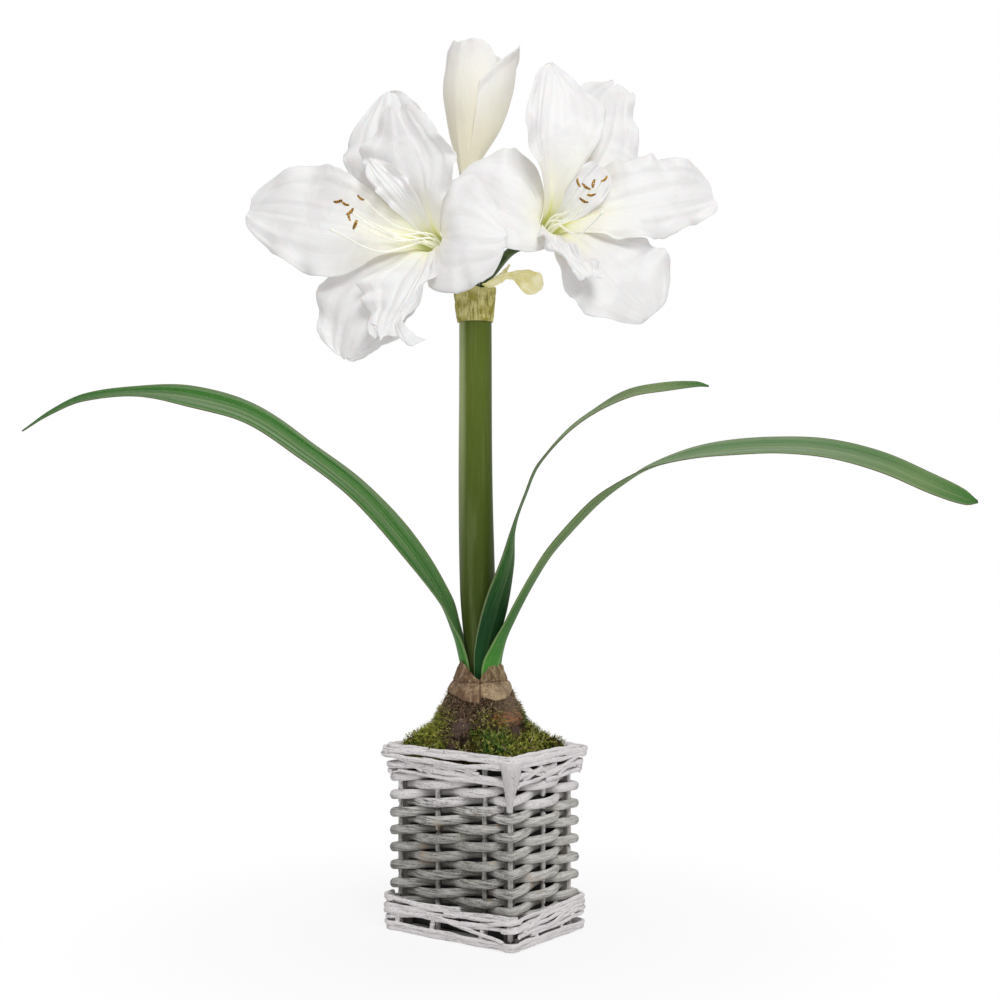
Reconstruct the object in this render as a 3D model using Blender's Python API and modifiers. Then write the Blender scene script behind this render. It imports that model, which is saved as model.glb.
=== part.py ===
"""Potted white amaryllis in a woven willow basket. Metres, +Z up.

The origin is the middle of the basket's underside, on the surface it stands on. +X is the
viewer's right when the flowers face the viewer, who looks along +Y.
"""

import math

import bmesh
import bpy
from mathutils import Vector

GAP = 0.0003  # kept between pieces that touch

# Basket: an oblong ring of upright stakes, turned about Z, that everything else follows.
BASKET_TURN = math.radians(-36.7)
STAKE_LINE_LONG = 0.0980
STAKE_LINE_SHORT = 0.0702
STAKE_RADIUS = 0.0017
STAKE_TOP = 0.1230
# Where the stakes stand along each side, as fractions; the sides go round counter-clockwise,
# long one first.
STAKE_SPACING = ((0.0, 0.352, 0.776), (0.0, 0.55), (0.0, 0.34, 0.67), (0.0, 0.5))
WEAVER_WIDE = 0.0036
WEAVER_TALL = 0.0052
WEAVERS = 4
ROW_PITCH = 0.0064
CLIMB_LONG_SIDE = 0.0120
FIRST_ROW_Z = 0.0272
LAST_ROW_Z = 0.1192
HOOP_RADIUS = 0.0024
RIM_REACH = 0.0026
FOOT_HOOP_RADIUS = 0.0024
FOOT_WALE_RADIUS = 0.0019
BASE_THICKNESS = 0.0040

# Filling
LINER_WALL = 0.0008
SOIL_TOP = 0.1228
MOSS_FLOOR = 0.1235
MOSS_RIM_Z = 0.1345
MOSS_TOP_Z = 0.1630
MOSS_TOP_RADIUS = 0.0240
MOSS_SLOPE = 0.87

# The plant stands a little to the left of the basket's middle; everything from here on is
# measured from the foot of its flower stem.
PLANT_PLACE = (-0.0043, 0.0, 0.0)
BULB_PLACE = (0.0014, 0.0, 0.0)

# Bulb outline as (radius, height), from the basal plate up to the neck.
BULB_OUTLINE = (
    (0.0140, 0.1070), (0.0210, 0.1105), (0.0248, 0.1165), (0.0262, 0.1235), (0.0305, 0.1320),
    (0.0330, 0.1420), (0.0318, 0.1500), (0.0290, 0.1580), (0.0252, 0.1650), (0.0226, 0.1715),
    (0.0190, 0.1790), (0.0163, 0.1840), (0.0149, 0.1880),
)
NECK_INNER_RADIUS = 0.0139
NECK_FLOOR_Z = 0.1780
TUNIC_THICKNESS = 0.0008

# Flower stem (scape) and what sits on its top
SCAPE_LINE = (
    (0.0014, 0.0, 0.1784), (0.0013, 0.0, 0.1900), (0.0003, 0.0, 0.2150), (-0.0008, 0.0, 0.2450),
    (-0.0018, 0.0, 0.3100), (-0.0022, 0.0, 0.3800), (-0.0025, 0.0, 0.4610),
)
SCAPE_RADII = (0.0094, 0.0098, 0.0116, 0.0127, 0.0123, 0.0118, 0.0116)
COLLAR_THICKNESS = 0.0008
COLLAR_BOTTOM_Z = 0.4370

LEAF_THICKNESS = 0.0012
TEPAL_THICKNESS = 0.0009

GREEN = (0.07, 0.20, 0.06)
DARK_GREEN = (0.03, 0.13, 0.05)
WHITE = (0.88, 0.88, 0.87)
WHITEWASHED = (0.62, 0.59, 0.60)
GREY_WILLOW = (0.40, 0.39, 0.37)

# A leaf's stations: centre, full width, roll in degrees (90 lays the blade flat, 0 stands it on
# edge) and how tightly it is guttered, as curves per metre.
LEAF_LEFT = (
    ((-0.0091, 0.0, 0.1788), 0.0205, 90, 92), ((-0.0096, 0.0, 0.1900), 0.0215, 90, 88),
    ((-0.0118, 0.0, 0.2030), 0.0240, 88, 76),
    ((-0.0218, -0.001, 0.2334), 0.0260, 72, 50), ((-0.0515, -0.008, 0.2768), 0.0250, 52, 30),
    ((-0.0835, -0.016, 0.3133), 0.0240, 52, 24), ((-0.1207, -0.024, 0.3429), 0.0230, 54, 22),
    ((-0.1607, -0.030, 0.3694), 0.0230, 50, 20), ((-0.2014, -0.034, 0.3811), 0.0225, 47, 24),
    ((-0.2394, -0.036, 0.3844), 0.0190, 64, 34), ((-0.2757, -0.036, 0.3802), 0.0140, 62, 40),
    ((-0.2974, -0.036, 0.3705), 0.0095, 60, 40), ((-0.3183, -0.036, 0.3572), 0.0020, 60, 40),
)
LEAF_MIDDLE = (
    ((0.0068, -0.0091, 0.1788), 0.0145, 150, 92), ((0.0070, -0.0096, 0.1890), 0.0160, 150, 88),
    ((0.0069, -0.0101, 0.2000), 0.0175, 150, 80),
    ((0.0134, -0.0160, 0.2344), 0.0225, 145, 40), ((0.0215, -0.0150, 0.2650), 0.0205, 125, 40),
    ((0.0262, -0.0110, 0.2933), 0.0180, 96, 48), ((0.0332, -0.0060, 0.3126), 0.0170, 88, 44),
    ((0.0428, -0.0020, 0.3342), 0.0170, 78, 36), ((0.0646, 0.0040, 0.3588), 0.0170, 68, 30),
    ((0.0844, 0.0080, 0.3735), 0.0160, 62, 28), ((0.1093, 0.0120, 0.3861), 0.0150, 58, 28),
    ((0.1344, 0.0160, 0.3914), 0.0125, 56, 28), ((0.1595, 0.0180, 0.3938), 0.0080, 56, 28),
    ((0.1682, 0.0180, 0.3923), 0.0020, 56, 28),
)
LEAF_RIGHT = (
    ((0.0124, -0.0047, 0.1788), 0.0180, 113, 84), ((0.0125, -0.0049, 0.1900), 0.0185, 113, 84),
    ((0.0170, -0.0100, 0.2094), 0.0220, 122, 62),
    ((0.0290, -0.0180, 0.2345), 0.0230, 122, 44), ((0.0473, -0.0220, 0.2666), 0.0230, 118, 40),
    ((0.0620, -0.0260, 0.2851), 0.0230, 122, 40), ((0.0822, -0.0300, 0.3065), 0.0230, 120, 38),
    ((0.0988, -0.0330, 0.3195), 0.0230, 106, 36), ((0.1175, -0.0360, 0.3313), 0.0230, 84, 32),
    ((0.1463, -0.0400, 0.3403), 0.0235, 70, 26), ((0.1752, -0.0430, 0.3448), 0.0240, 63, 22),
    ((0.2101, -0.0460, 0.3464), 0.0245, 59, 20), ((0.2450, -0.0480, 0.3436), 0.0255, 55, 18),
    ((0.2795, -0.0500, 0.3345), 0.0250, 50, 18), ((0.3137, -0.0520, 0.3193), 0.0225, 48, 20),
    ((0.3355, -0.0530, 0.3104), 0.0160, 46, 22), ((0.3445, -0.0530, 0.3076), 0.0030, 46, 22),
)

# The trumpet all tepals of a flower lie on: (distance from its axis, height along the axis).
TRUMPET = (
    (0.0050, -0.0015), (0.0066, 0.0100), (0.0090, 0.0220), (0.0130, 0.0305), (0.0210, 0.0390),
    (0.0330, 0.0460), (0.0480, 0.0500), (0.0640, 0.0515), (0.0800, 0.0505), (0.0960, 0.0480),
    (0.1120, 0.0440), (0.1300, 0.0380), (0.1500, 0.0300),
)
INNER_WHORL_RADIUS = 0.0050
WHORL_STEP = 0.0016  # the outer whorl wraps the inner one
OUTER_SETBACK = 0.0045

# A flower: where its tepals are fixed, the way it faces, and its tepals. A tepal leaves at its
# azimuth and ends at tip_azimuth, both counter-clockwise from the right, seen facing the flower;
# reach is how far its tip is from the flower's axis and rise how far that tip stands in front of
# the trumpet.
LEFT_FLOWER = {
    "base": (-0.0260, -0.0030, 0.4885),
    "axis": (-0.38, -0.91, 0.17),
    "tepals": {
        "west": {"azimuth": 178, "tip_azimuth": 172, "reach": 0.128,
                 "width": 0.084, "inner": True, "rise": 0.022},
        "north_west": {"azimuth": 120, "tip_azimuth": 109, "reach": 0.120,
                       "width": 0.078, "inner": False, "rise": -0.006},
        "north_east": {"azimuth": 70, "tip_azimuth": 97, "reach": 0.084,
                       "width": 0.072, "inner": True, "rise": 0.014},
        "east": {"azimuth": 0, "tip_azimuth": -4, "reach": 0.067,
                 "width": 0.086, "inner": False, "rise": -0.022},
        "south_west": {"azimuth": 240, "tip_azimuth": 242, "reach": 0.099,
                       "width": 0.072, "inner": False, "rise": 0.0},
        "south_east": {"azimuth": 286, "tip_azimuth": 262, "reach": 0.080,
                       "width": 0.070, "inner": True, "rise": 0.010},
    },
    "anthers": ((-0.0945, -0.070, 0.5120), (-0.0890, -0.072, 0.5100), (-0.0860, -0.074, 0.5040),
                (-0.0855, -0.078, 0.5000), (-0.0825, -0.074, 0.4950), (-0.0790, -0.066, 0.5150)),
    "stigma": (-0.0980, -0.086, 0.4900),
}
RIGHT_FLOWER = {
    "base": (0.0460, 0.0000, 0.4980),
    "axis": (0.32, -0.90, 0.28),
    "tepals": {
        "east": {"azimuth": 0, "tip_azimuth": 6, "reach": 0.120,
                 "width": 0.074, "inner": True, "rise": 0.004},
        "north_east": {"azimuth": 60, "tip_azimuth": 62, "reach": 0.128,
                       "width": 0.072, "inner": False, "rise": -0.006},
        "north_west": {"azimuth": 104, "tip_azimuth": 88, "reach": 0.112,
                       "width": 0.070, "inner": True, "rise": 0.006},
        "west": {"azimuth": 180, "tip_azimuth": 152, "reach": 0.074,
                 "width": 0.080, "inner": False, "rise": -0.028},
        "south_east": {"azimuth": 300, "tip_azimuth": 308, "reach": 0.098,
                       "width": 0.072, "inner": False, "rise": -0.004},
        "south_west": {"azimuth": 240, "tip_azimuth": 272, "reach": 0.060,
                       "width": 0.040, "inner": True, "rise": 0.014},
    },
    "anthers": ((0.0690, -0.072, 0.5240), (0.0740, -0.074, 0.5210), (0.0790, -0.073, 0.5230),
                (0.0860, -0.070, 0.5270), (0.0720, -0.078, 0.5110), (0.0770, -0.078, 0.5150)),
    "stigma": (0.0840, -0.094, 0.5000),
}
BUD = {"base": (-0.0092, 0.0100, 0.5450), "tip": (0.0061, 0.0100, 0.6360), "radius": 0.0248}
# Bud sepals wrap one over the next: azimuth of the middle, reach to each side, inset.
BUD_SEPALS = {"left": (232, 74, 0.0), "right": (342, 74, 0.0013), "back": (100, 78, 0.0026)}
BUD_ROLL_INSET = 0.0040

PEDICELS = {
    "pedicel_left": ((-0.0085, -0.0040, 0.4613), (-0.0100, -0.0035, 0.4690), (-0.0160, -0.0010, 0.4790)),
    "pedicel_right": ((0.0040, -0.0035, 0.4613), (0.0105, -0.0020, 0.4730), (0.0250, 0.0060, 0.4900)),
    "pedicel_bud": ((-0.0025, 0.0065, 0.4613), (-0.0040, 0.0090, 0.4900), (-0.0072, 0.0100, 0.5200)),
}
PEDICEL_RADIUS = 0.0032
RECEPTACLE_RADIUS = 0.0042
FILAMENT_RADIUS = 0.0006
ANTHER_LENGTH = 0.0070

SPATHE_BRACTS = {
    "spathe_bract_right": (((0.0072, -0.0074, 0.4618), 0.0130, 76), ((0.0120, -0.0106, 0.4672), 0.0125, 50),
                           ((0.0215, -0.0130, 0.4720), 0.0110, 60), ((0.0300, -0.0140, 0.4690), 0.0120, 60),
                           ((0.0380, -0.0140, 0.4630), 0.0160, 60), ((0.0455, -0.0130, 0.4600), 0.0070, 60)),
    "spathe_bract_back": (((0.0062, 0.0082, 0.4618), 0.0140, 76), ((0.0120, 0.0125, 0.4710), 0.0140, 50),
                          ((0.0230, 0.0170, 0.4800), 0.0120, 40), ((0.0270, 0.0180, 0.4880), 0.0040, 40)),
}


def clear_scene():
    for obj in list(bpy.data.objects):
        bpy.data.objects.remove(obj, do_unlink=True)


def new_collection(name):
    collection = bpy.data.collections.new(name)
    bpy.context.scene.collection.children.link(collection)
    return collection


def material(name, colour, roughness=0.6):
    mat = bpy.data.materials.new(name)
    mat.use_nodes = True
    shader = mat.node_tree.nodes["Principled BSDF"]
    shader.inputs["Base Color"].default_value = (*colour, 1.0)
    shader.inputs["Roughness"].default_value = roughness
    shader.inputs["Metallic"].default_value = 0.0
    return mat


def add_object(name, data, mat, collection, parent=None):
    obj = bpy.data.objects.new(name, data)
    collection.objects.link(obj)
    if mat is not None:
        data.materials.append(mat)
    obj.parent = parent
    return obj


def mesh_from(name, builder, smooth_angle=40):
    """A mesh from a function that fills a bmesh."""
    mesh = bpy.data.meshes.new(name)
    bm = bmesh.new()
    builder(bm)
    bm.to_mesh(mesh)
    bm.free()
    mesh.shade_smooth()
    mesh.set_sharp_from_angle(angle=math.radians(smooth_angle))
    return mesh


def smooth_line(points, count, power=1.0):
    """count rows read from a smooth curve through the points, spaced evenly along it. Each
    point is a tuple whose first three numbers are its place; the rest are carried along."""
    points = [tuple(float(v) for v in p) for p in points]
    knots = [0.0]
    for a, b in zip(points, points[1:]):
        knots.append(knots[-1] + math.dist(a[:3], b[:3]) ** power)
    last = len(points) - 1

    def slope(i):
        a, b = max(i - 1, 0), min(i + 1, last)
        return [(q - p) / (knots[b] - knots[a]) for p, q in zip(points[a], points[b])]

    slopes = [slope(i) for i in range(last + 1)]
    rows = []
    for n in range(count):
        at = knots[-1] * n / (count - 1)
        i = min(max(sum(k <= at for k in knots) - 1, 0), last - 1)
        span = knots[i + 1] - knots[i]
        u = (at - knots[i]) / span
        h00, h10 = 2 * u ** 3 - 3 * u ** 2 + 1, u ** 3 - 2 * u ** 2 + u
        h01, h11 = -2 * u ** 3 + 3 * u ** 2, u ** 3 - u ** 2
        rows.append([
            h00 * p + h10 * span * m + h01 * q + h11 * span * k
            for p, m, q, k in zip(points[i], slopes[i], points[i + 1], slopes[i + 1])
        ])
    return rows


def smoothstep(x):
    x = min(max(x, 0.0), 1.0)
    return x * x * (3 - 2 * x)


def tangents(centres):
    found = []
    for i in range(len(centres)):
        ahead = centres[min(i + 1, len(centres) - 1)]
        behind = centres[max(i - 1, 0)]
        found.append((ahead - behind).normalized())
    return found


def poly_curve(name, points, radii=None, cyclic=False):
    curve = bpy.data.curves.new(name, "CURVE")
    curve.dimensions = "3D"
    spline = curve.splines.new("POLY")
    spline.points.add(len(points) - 1)
    for i, place in enumerate(points):
        spline.points[i].co = (*place, 1.0)
        spline.points[i].radius = radii[i] if radii else 1.0
    spline.use_cyclic_u = cyclic
    spline.use_smooth = True
    return curve


def tube(name, points, radius, mat, collection, parent=None, sides=8, radii=None, cyclic=False):
    """A round rod along the points; radii, if given, replace the radius point by point."""
    curve = poly_curve(name, points, radii, cyclic)
    curve.bevel_depth = 1.0 if radii else radius
    curve.bevel_resolution = sides // 2 - 2
    curve.use_fill_caps = not cyclic
    return add_object(name, curve, mat, collection, parent)


def turned(name, outline, steps, mat, collection):
    """A solid of revolution about Z, from (radius, height) pairs listed from the bottom axis point
    to the top axis point."""
    def profile(bm):
        ring = [bm.verts.new((r, 0.0, z)) for r, z in reversed(outline)]
        for a, b in zip(ring, ring[1:]):
            bm.edges.new((a, b))
    obj = add_object(name, mesh_from(name, profile), mat, collection)
    screw = obj.modifiers.new("Turn", "SCREW")
    screw.steps = screw.render_steps = steps
    screw.use_merge_vertices = True
    screw.merge_threshold = 0.00001
    return obj


def sheet(name, grid, thickness, mat, collection, parent):
    """A thin sheet through a grid of points, thickened by Solidify."""
    def faces(bm):
        rows = [[bm.verts.new(place) for place in row] for row in grid]
        for lower, upper in zip(rows, rows[1:]):
            for j in range(len(lower) - 1):
                bm.faces.new((lower[j], lower[j + 1], upper[j + 1], upper[j]))
    obj = add_object(name, mesh_from(name, faces), mat, collection, parent)
    wall = obj.modifiers.new("Thickness", "SOLIDIFY")
    wall.thickness = thickness
    wall.offset = 0.0
    return obj


def ribbon(name, stations, columns, thickness, mat, collection, parent):
    """A thin blade. A station is centre, side direction, inner-face direction, half width and
    curve (1 / radius) across it."""
    grid = []
    for centre, side, inward, half, curve in stations:
        row = []
        for j in range(columns):
            turn = (2 * j / (columns - 1) - 1) * half * curve
            rise = (1 - math.cos(turn)) / curve
            row.append(centre + side * (math.sin(turn) / curve) + inward * rise)
        grid.append(row)
    sheet(name, grid, thickness, mat, collection, parent)


def evaluated_copy(obj):
    """The object's evaluated mesh as plain data in world space."""
    graph = bpy.context.evaluated_depsgraph_get()
    graph.update()
    mesh = bpy.data.meshes.new_from_object(obj.evaluated_get(graph))
    mesh.transform(obj.matrix_world)
    bm = bmesh.new()
    bm.from_mesh(mesh)
    bmesh.ops.remove_doubles(bm, verts=bm.verts, dist=0.000001)
    bmesh.ops.recalc_face_normals(bm, faces=bm.faces)
    bm.to_mesh(mesh)
    bm.free()
    return mesh


def hide_cutter(obj):
    obj.hide_render = True
    obj.display_type = "WIRE"


def boolean(obj, other, operation):
    cut = obj.modifiers.new(operation.title(), "BOOLEAN")
    cut.operation = operation
    cut.object = other
    cut.solver = "EXACT"


def joined(name, pieces, mat, collection):
    """One solid from pieces that overlap."""
    meshes = [evaluated_copy(piece) for piece in pieces]
    for piece in pieces:
        bpy.data.objects.remove(piece, do_unlink=True)
    whole = add_object(name, meshes[0], mat, collection)
    for i, mesh in enumerate(meshes[1:]):
        other = add_object(f"{name}_join_{i}", mesh, None, collection)
        boolean(whole, other, "UNION")
        result = evaluated_copy(whole)
        whole.modifiers.clear()
        whole.data = result
        bpy.data.objects.remove(other, do_unlink=True)
    whole.data.materials.clear()
    whole.data.materials.append(mat)
    return whole


# ---------------------------------------------------------------- basket

def stake_places():
    """Place, outward direction and height gained by a weaver at each stake, going round."""
    half_x, half_y = STAKE_LINE_LONG / 2, STAKE_LINE_SHORT / 2
    corners = [Vector((-half_x, -half_y)), Vector((half_x, -half_y)),
               Vector((half_x, half_y)), Vector((-half_x, half_y))]
    climbs = [CLIMB_LONG_SIDE, WEAVERS * ROW_PITCH / 2 - CLIMB_LONG_SIDE] * 2
    places, gained = [], 0.0
    for side, fractions in enumerate(STAKE_SPACING):
        start, end = corners[side], corners[(side + 1) % 4]
        along = (end - start).normalized()
        outward = Vector((along.y, -along.x))
        came = (start - corners[side - 1]).normalized()
        mitre = outward + Vector((came.y, -came.x))
        for fraction in fractions:
            places.append((start.lerp(end, fraction), outward if fraction else mitre,
                           gained + climbs[side] * fraction))
        gained += climbs[side]
    return places


def offset_ring(distance, height, steps_per_corner=4):
    """A ring of points that runs at a distance outside the stake line."""
    half_x, half_y = STAKE_LINE_LONG / 2, STAKE_LINE_SHORT / 2
    ring = []
    for quarter, (sx, sy) in enumerate(((1, -1), (1, 1), (-1, 1), (-1, -1))):
        start = -math.pi / 2 + quarter * math.pi / 2
        for i in range(steps_per_corner):
            angle = start + i * math.pi / 2 / (steps_per_corner - 1)
            ring.append(Vector((sx * half_x + distance * math.cos(angle),
                                sy * half_y + distance * math.sin(angle), height)))
    return ring


def weaver_points(number):
    """A rod that passes outside one stake and inside the next while it climbs round the basket."""
    places = stake_places()
    count = len(places)
    swing = STAKE_RADIUS + GAP + WEAVER_WIDE / 2
    foot = FIRST_ROW_Z - 0.006 + number * ROW_PITCH

    def height(stake):
        return foot + places[stake % count][2] + (stake // count) * WEAVERS * ROW_PITCH

    stakes = [i for i in range(-count, 6 * count) if FIRST_ROW_Z <= height(i) <= LAST_ROW_Z]
    steps = 3
    points = []
    for stake in stakes[:-1]:
        here, there = places[stake % count], places[(stake + 1) % count]
        outside = (stake + number) % 2 == 0
        for i in range(steps):
            part = i / steps
            wave = math.cos(math.pi * part)
            wave = math.copysign(abs(wave) ** 0.6, wave) * (1 if outside else -1)
            outward = here[1].lerp(there[1], part)
            if wave < 0 or 0 < part < 1:
                outward.normalize()
            flat = here[0].lerp(there[0], part) + outward * (swing * wave)
            z = height(stake) + (height(stake + 1) - height(stake)) * part
            points.append(Vector((flat.x, flat.y, z)))
    return points


def build_basket(collection, helpers):
    wash = material("whitewashed_willow", WHITEWASHED, 0.85)
    grey = material("grey_willow", GREY_WILLOW, 0.8)
    frame = bpy.data.objects.new("basket_axis", None)
    collection.objects.link(frame)
    frame.rotation_euler = (0, 0, BASKET_TURN)

    def base_board(bm):
        bmesh.ops.create_cube(bm, size=1.0)
        inset = 2 * (STAKE_RADIUS + GAP)
        size = Vector((STAKE_LINE_LONG - inset, STAKE_LINE_SHORT - inset, BASE_THICKNESS))
        bmesh.ops.scale(bm, vec=size, verts=bm.verts)
        bmesh.ops.translate(bm, vec=(0, 0, BASE_THICKNESS / 2), verts=bm.verts)
    add_object("basket_base", mesh_from("basket_base", base_board), grey, collection, frame)

    def stake(bm):
        bmesh.ops.create_cone(bm, cap_ends=True, segments=8, radius1=STAKE_RADIUS,
                              radius2=STAKE_RADIUS, depth=STAKE_TOP - GAP)
    stake_mesh = mesh_from("stake", stake)
    for number, (place, *_) in enumerate(stake_places(), 1):
        obj = add_object(f"stake_{number:02d}", stake_mesh, None, collection, frame)
        obj.location = (place.x, place.y, (STAKE_TOP + GAP) / 2)
    stake_mesh.materials.append(grey)

    section = poly_curve("weaver_section", [
        Vector((math.cos(a) * WEAVER_WIDE / 2, -math.sin(a) * WEAVER_TALL / 2, 0))
        for a in (i * math.pi / 3 for i in range(6))
    ], cyclic=True)
    section_object = add_object("weaver_section", section, None, helpers)
    hide_cutter(section_object)
    for number in range(WEAVERS):
        name = f"weaver_{number + 1}"
        curve = poly_curve(name, weaver_points(number))
        curve.bevel_mode = "OBJECT"
        curve.bevel_object = section_object
        curve.twist_mode = "Z_UP"
        curve.use_fill_caps = True
        add_object(name, curve, grey, collection, frame)

    beside_stakes = STAKE_RADIUS + GAP
    tube("foot_hoop", offset_ring(beside_stakes + FOOT_HOOP_RADIUS, FOOT_HOOP_RADIUS),
         FOOT_HOOP_RADIUS, wash, collection, frame, cyclic=True)
    near = beside_stakes + FOOT_WALE_RADIUS
    wales = ((near, 0.0135), (near + 0.0022, 0.0170), (near, 0.0205))
    for number, (distance, z) in enumerate(wales, 1):
        tube(f"foot_wale_{number}", offset_ring(distance, z),
             FOOT_WALE_RADIUS, wash, collection, frame, sides=6, cyclic=True)
    low_z = STAKE_TOP + GAP + HOOP_RADIUS
    apart = 2 * HOOP_RADIUS + GAP
    rise = math.sqrt(apart ** 2 - (apart / 2) ** 2)
    hoops = (("rim_hoop_inner", RIM_REACH, low_z), ("rim_hoop_outer", RIM_REACH + apart, low_z),
             ("rim_hoop_top", RIM_REACH + apart / 2, low_z + rise))
    for name, distance, z in hoops:
        tube(name, offset_ring(distance, z), HOOP_RADIUS, wash, collection, frame, cyclic=True)
    return frame


# ---------------------------------------------------------------- filling and bulb

def bulb_solid_outline(grow=0.0):
    """The bulb's outline, closed to the axis; grow widens it, for the holes it sits in."""
    bottom = (0.0, BULB_OUTLINE[0][1] - grow)
    outline = [bottom, (BULB_OUTLINE[0][0] + grow, bottom[1])]
    outline += [(r + grow, z) for r, z in BULB_OUTLINE[1:]]
    neck_z = BULB_OUTLINE[-1][1]
    if grow:
        return outline + [(0.0, neck_z)]
    hollow = [(NECK_INNER_RADIUS, neck_z), (NECK_INNER_RADIUS, NECK_FLOOR_Z), (0.0, NECK_FLOOR_Z)]
    return outline + hollow


def bulb_radius(z):
    for (r0, z0), (r1, z1) in zip(BULB_OUTLINE, BULB_OUTLINE[1:]):
        if z <= z1:
            return r0 + (r1 - r0) * (z - z0) / (z1 - z0)
    return BULB_OUTLINE[-1][0]


def build_filling(collection, helpers, frame):
    plastic = material("liner_plastic", (0.03, 0.03, 0.03), 0.5)
    earth = material("potting_soil", (0.05, 0.035, 0.025), 0.95)
    green_moss = material("moss", (0.14, 0.17, 0.04), 0.95)
    weave_inside = STAKE_RADIUS + WEAVER_WIDE + 2 * GAP
    liner_x = STAKE_LINE_LONG - 2 * weave_inside
    liner_y = STAKE_LINE_SHORT - 2 * weave_inside
    liner_floor = BASE_THICKNESS + GAP

    def open_box(bm):
        bmesh.ops.create_cube(bm, size=1.0)
        top = max(bm.faces, key=lambda face: face.calc_center_median().z)
        bmesh.ops.delete(bm, geom=[top], context="FACES")
        bmesh.ops.scale(bm, vec=(liner_x, liner_y, SOIL_TOP - liner_floor), verts=bm.verts)
        bmesh.ops.translate(bm, vec=(0, 0, (SOIL_TOP + liner_floor) / 2), verts=bm.verts)
    liner = add_object("liner", mesh_from("liner", open_box), plastic, collection, frame)
    wall = liner.modifiers.new("Wall", "SOLIDIFY")
    wall.thickness = LINER_WALL
    wall.offset = -1.0

    cutter = turned("bulb_space", bulb_solid_outline(grow=0.0004), 24, None, helpers)
    cutter.location = Vector(PLANT_PLACE) + Vector(BULB_PLACE)
    hide_cutter(cutter)

    def soil_block(bm):
        bmesh.ops.create_cube(bm, size=1.0)
        inset = 2 * (LINER_WALL + GAP)
        floor = liner_floor + LINER_WALL + GAP
        bmesh.ops.scale(bm, vec=(liner_x - inset, liner_y - inset, SOIL_TOP - floor), verts=bm.verts)
        bmesh.ops.translate(bm, vec=(0, 0, (SOIL_TOP + floor) / 2), verts=bm.verts)
    soil = add_object("soil", mesh_from("soil", soil_block), earth, collection, frame)
    boolean(soil, cutter, "DIFFERENCE")

    def moss_mound(bm):
        rim_gap = RIM_REACH - HOOP_RADIUS - GAP
        long_half = STAKE_LINE_LONG / 2 + rim_gap
        short_half = STAKE_LINE_SHORT / 2 + rim_gap
        bmesh.ops.create_grid(bm, x_segments=13, y_segments=11, size=1.0)
        top = list(bm.faces)
        for vert in bm.verts:
            vert.co.x *= long_half
            vert.co.y *= short_half
        middle = (frame.matrix_world.inverted() @ cutter.location).xy
        lower = bmesh.ops.extrude_face_region(bm, geom=top)
        raised = [v for v in lower["geom"] if isinstance(v, bmesh.types.BMVert)]
        for vert in bm.verts:
            vert.co.z = MOSS_FLOOR
        for vert in raised:
            slope = MOSS_TOP_Z - MOSS_SLOPE * ((vert.co.xy - middle).length - MOSS_TOP_RADIUS)
            edge = max(abs(vert.co.x) / long_half, abs(vert.co.y) / short_half)
            rim = MOSS_RIM_Z - 0.004 * smoothstep((edge - 0.8) / 0.2)
            vert.co.z = min(max(slope, rim), MOSS_TOP_Z)
        bmesh.ops.recalc_face_normals(bm, faces=bm.faces)
    moss = add_object("moss", mesh_from("moss", moss_mound), green_moss, collection, frame)
    boolean(moss, cutter, "DIFFERENCE")


def build_bulb(collection, plant):
    skin = material("bulb_skin", (0.16, 0.10, 0.065), 0.8)
    paper = material("bulb_tunic", (0.33, 0.22, 0.14), 0.7)
    bulb = turned("bulb", bulb_solid_outline(), 24, skin, collection)
    bulb.parent = plant
    bulb.location = BULB_PLACE
    for name, middle, reach, top_z in (("bulb_tunic_left", 178, 86, 0.1945),
                                       ("bulb_tunic_right", 2, 86, 0.1935)):
        stations = []
        levels = [0.1680] + [z for _, z in BULB_OUTLINE if z > 0.1690] + [0.1912, top_z]
        for z in levels:
            radius = bulb_radius(z) + 2 * GAP + TUNIC_THICKNESS
            spread = reach * (1 - 0.72 * smoothstep((z - 0.181) / (top_z - 0.181)))
            angle = math.radians(middle)
            outward = Vector((math.cos(angle), math.sin(angle), 0))
            side = Vector((-math.sin(angle), math.cos(angle), 0))
            half = radius * math.radians(spread)
            centre = Vector(BULB_PLACE) + outward * radius + Vector((0, 0, z))
            stations.append((centre, side, -outward, half, 1 / radius))
        ribbon(name, stations, 11, TUNIC_THICKNESS, paper, collection, plant)


# ---------------------------------------------------------------- green parts

def build_leaf(name, stations, hand, mat, collection, plant):
    """hand is 1 for a leaf that leans to +X and -1 for one that leans to -X."""
    rows = smooth_line([(*centre, *shape) for centre, *shape in stations], 22)
    centres = [Vector(row[:3]) for row in rows]
    depth = Vector((0, 1, 0))
    made = []
    for centre, tangent, (width, roll, gutter) in zip(centres, tangents(centres), [r[3:] for r in rows]):
        upper = (tangent.cross(depth) * hand).normalized()
        across = (depth - tangent * depth.dot(tangent)).normalized()
        turn = math.radians(roll)
        side = upper * math.cos(turn) + across * math.sin(turn)
        inward = upper * math.sin(turn) - across * math.cos(turn)
        half = max(width, 0.0012) / 2
        settled = smoothstep((centre.z - 0.205) / 0.03)
        sag = (1 - math.cos(half * gutter)) / gutter * settled
        made.append((centre - inward * (sag / 2), side, inward, half, gutter))
    ribbon(name, made, 5, LEAF_THICKNESS, mat, collection, plant)


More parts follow.
